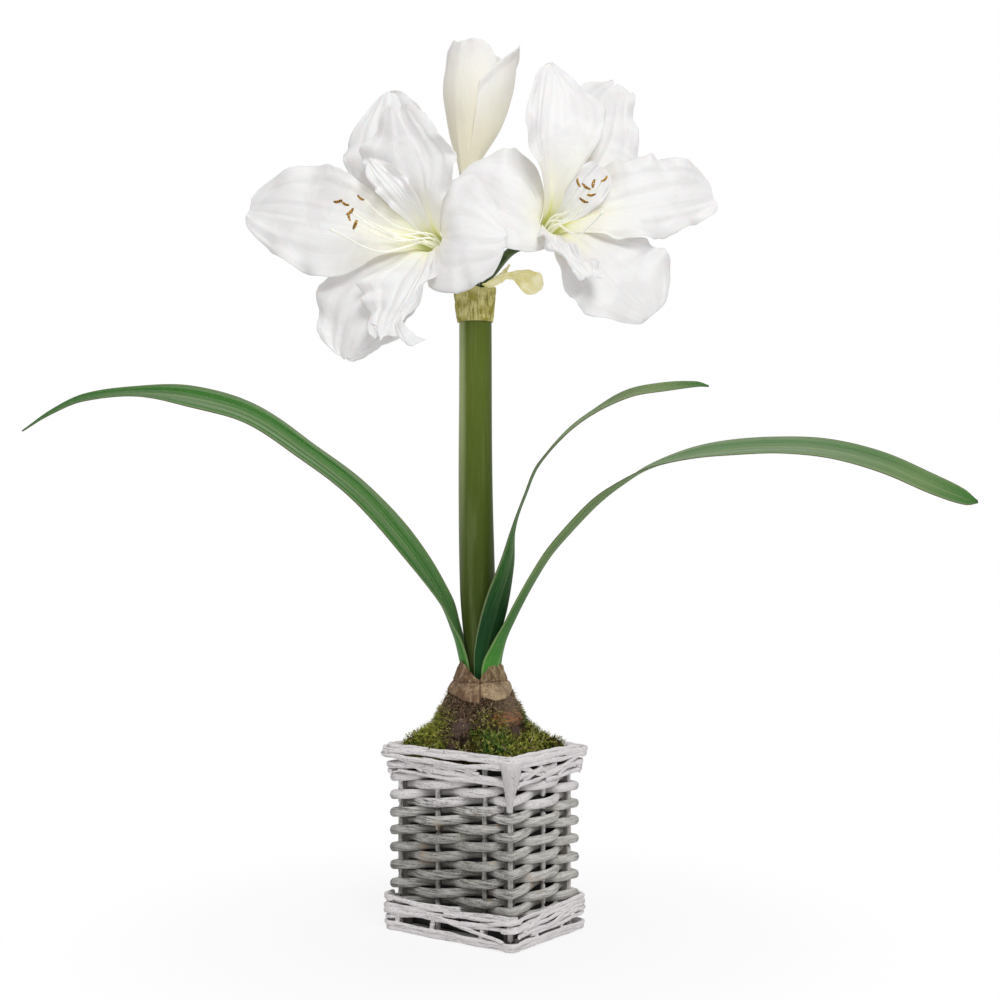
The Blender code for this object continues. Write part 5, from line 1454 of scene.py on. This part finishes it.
# each sepal: bearing, half its spread in degrees and depth under the first one; then how high its edge
# reaches at shares from its left side to its right side
bud = {"base": (-9.2, 10, 545), "tip": (3.2, 10, 637.5), "radius": 0.0252, "foot": 0.0052,
       "rollInset": 0.0040, "thick": 0.0008, "sepals": {
    "left": (232, 78, 0.0003, ((-1, 0.55), (-0.7, 0.86), (-0.42, 0.94), (-0.24, 1.0), (-0.12, 0.962),
                               (0.0, 0.972), (0.22, 0.995), (0.46, 0.995), (0.62, 0.97), (0.82, 0.885),
                               (0.9, 0.78), (1, 0.5))),
    "right": (348, 74, -0.0008, ((-1, 0.67), (-0.86, 0.747), (-0.69, 0.829), (-0.46, 0.913),
                                 (-0.2, 0.985), (0.02, 1.055), (0.12, 1.05), (0.3, 0.97), (0.6, 0.88),
                                 (1, 0.60))),
    "back": (98, 84, 0.0022, ((-1, 0.60), (-0.75, 0.88), (-0.6, 0.965), (-0.42, 1.01), (-0.2, 1.01),
                              (0, 1.0), (0.2, 0.98), (0.45, 0.92), (0.75, 0.80), (1, 0.60)))}}


def buildBud():
    base, tip = fromStem(bud["base"]), fromStem(bud["tip"])
    axis = unit(tip - base)
    length = np.linalg.norm(tip - base)
    back = unit(np.cross(axis, (1.0, 0.0, 0.0)))
    right = unit(np.cross(back, axis))

    def belly(t):
        swell = np.sin(np.minimum(t / 0.74, 1.0) * math.pi / 2) ** 1.25
        full = bud["foot"] + (bud["radius"] - bud["foot"]) * swell
        return full - 0.0012 * smoothstep((t - 0.72) / 0.28)

    def upTo(t):
        return base + axis * length * t[..., None]

    part, share = gridOf(80, 81)
    for seed, (name, (azimuth, spread, inset, edge)) in enumerate(bud["sepals"].items()):
        outward = around(np.zeros(3), right, back, math.radians(azimuth), 1.0)
        top = eased(np.interp(share, *np.array(edge).T), 7) + 0.003 * lumps(share * 4, seed * 9.0, 1.0)
        t = top * part
        near = smoothstep((t - top + 0.10) / 0.10)
        curl = 0.0012 * lumps(share * 5, seed * 9.0, 4.0) + 0.0006 - 1.6 * min(inset, 0.0)
        lift = 0.0009 * lumps(t * 4, share * 2, seed * 9.0) + 0.0003 * np.exp(-(share / 0.09) ** 2)
        grid = around(upTo(t), outward, np.cross(axis, outward), math.radians(spread) * share,
                      belly(t) - inset + lift + near * curl)
        dress(blade("budSepal" + name.title(), grid, bud["thick"], budCream, edge=0.4), "bud_cream",
              "bud_sepal_" + name)
    turn, part = circle(60), gridOf(50, 1)[0]
    t = 0.01 + 0.97 * part
    radius = (belly(t) - bud["rollInset"]) * (1 - 0.85 * smoothstep((t - 0.60) / 0.34))
    verts = around(upTo(t), right, back, turn, radius * (1 + 0.05 * np.cos(3 * turn + t * 4)))
    uv = np.stack(np.broadcast_arrays(turn / math.tau, part), -1)
    dress(meshPiece("budPetalRoll", verts, tube(50, 60), budCream, uv), "bud_cream", "bud_petal_roll")
    buildStalk("bud", base, axis)


for number, (name, facts) in enumerate(flowers.items()):
    flower, title = flowerFrame(facts), name.title()
    for order, (side, spec) in enumerate(facts["tepals"].items()):
        buildTepal("tepal" + title + side.title().replace("_", ""), flower, spec,
                   1.7 + number * 13.1 + order * 3.3, f"flower_{name}_tepal_{side}")
    buildTepal("innerFold" + title, flower, facts["fold"], 5.3 + number * 4.1)
    buildStamens(name, facts, flower)
    buildStalk(name, flower[0], flower[1])
buildBud()
print("flowers opened")

# each lamp: power, size and place
studio = {
    "camera": (0.0112, -1.200, 0.309), "lens": 60, "sky": 0.43, "floorSize": 6.0, "aim": (0, 0, 0.3),
    "lamps": {"key": (18.5, 0.9, (0.42, -1.45, 1.6)), "fill": (2.5, 1.6, (-1.5, -1.3, 0.7)),
              "rimLight": (3, 1.2, (0.3, 1.3, 1.5))},
}


def buildStudio():
    scene = bpy.context.scene
    camera = bpy.data.cameras.new("camera")
    camera.lens, camera.sensor_width, camera.clip_end = studio["lens"], 36, 50
    seat = addObject("camera", camera)
    seat.location, seat.rotation_euler = studio["camera"], (math.pi / 2, 0, 0)
    scene.camera = seat
    for name, (power, size, place) in studio["lamps"].items():
        light = bpy.data.lights.new(name, "AREA")
        light.energy, light.size, light.shape = power, size, "DISK"
        lamp = addObject(name, light)
        lamp.location = place
        lamp.rotation_euler = (Vector(studio["aim"]) - Vector(place)).to_track_quat("-Z", "Y").to_euler()
        lamp.visible_camera = False
    scene.world = scene.world or bpy.data.worlds.new("studio")
    scene.world.use_nodes = True
    sky = Graph(scene.world.node_tree)
    background = next(n for n in sky.tree.nodes if n.type == "BACKGROUND")
    background.inputs["Color"].default_value = (1, 1, 1, 1)
    sky.plug(sky.rays() * (1 - studio["sky"]) + studio["sky"], background.inputs["Strength"])
    scene.view_settings.view_transform = "Standard"


def buildFloor():
    # a pale floor that keeps the shadow near the basket and fades to the white behind it
    size = studio["floorSize"]
    ring = [(size * math.cos(a), size * math.sin(a), 0.0) for a in circle(96)]
    floor = addObject("floor", plainMesh("floor", ring, [], [list(range(96))]))
    finish = Finish("paleFloor", Base_Color=(0.86, 0.86, 0.86, 1), Roughness=0.9)
    far = finish.node("ShaderNodeVectorMath", {0: finish.place()}, "Value", operation="LENGTH")
    white = finish.node("ShaderNodeEmission", {"Color": (1, 1, 1, 1), "Strength": 1.0})
    both = finish.node("ShaderNodeMixShader", {
        0: finish.rays() * (far.rise(0.08, 0.34) * 0.16 + 0.84),
        1: Wire(finish, finish.shader.outputs[0]), 2: white})
    output = next(n for n in finish.tree.nodes if n.type == "OUTPUT_MATERIAL")
    finish.plug(both, output.inputs["Surface"])
    floor.data.materials.append(finish.material)


buildStudio()
buildFloor()
print("studio lit")
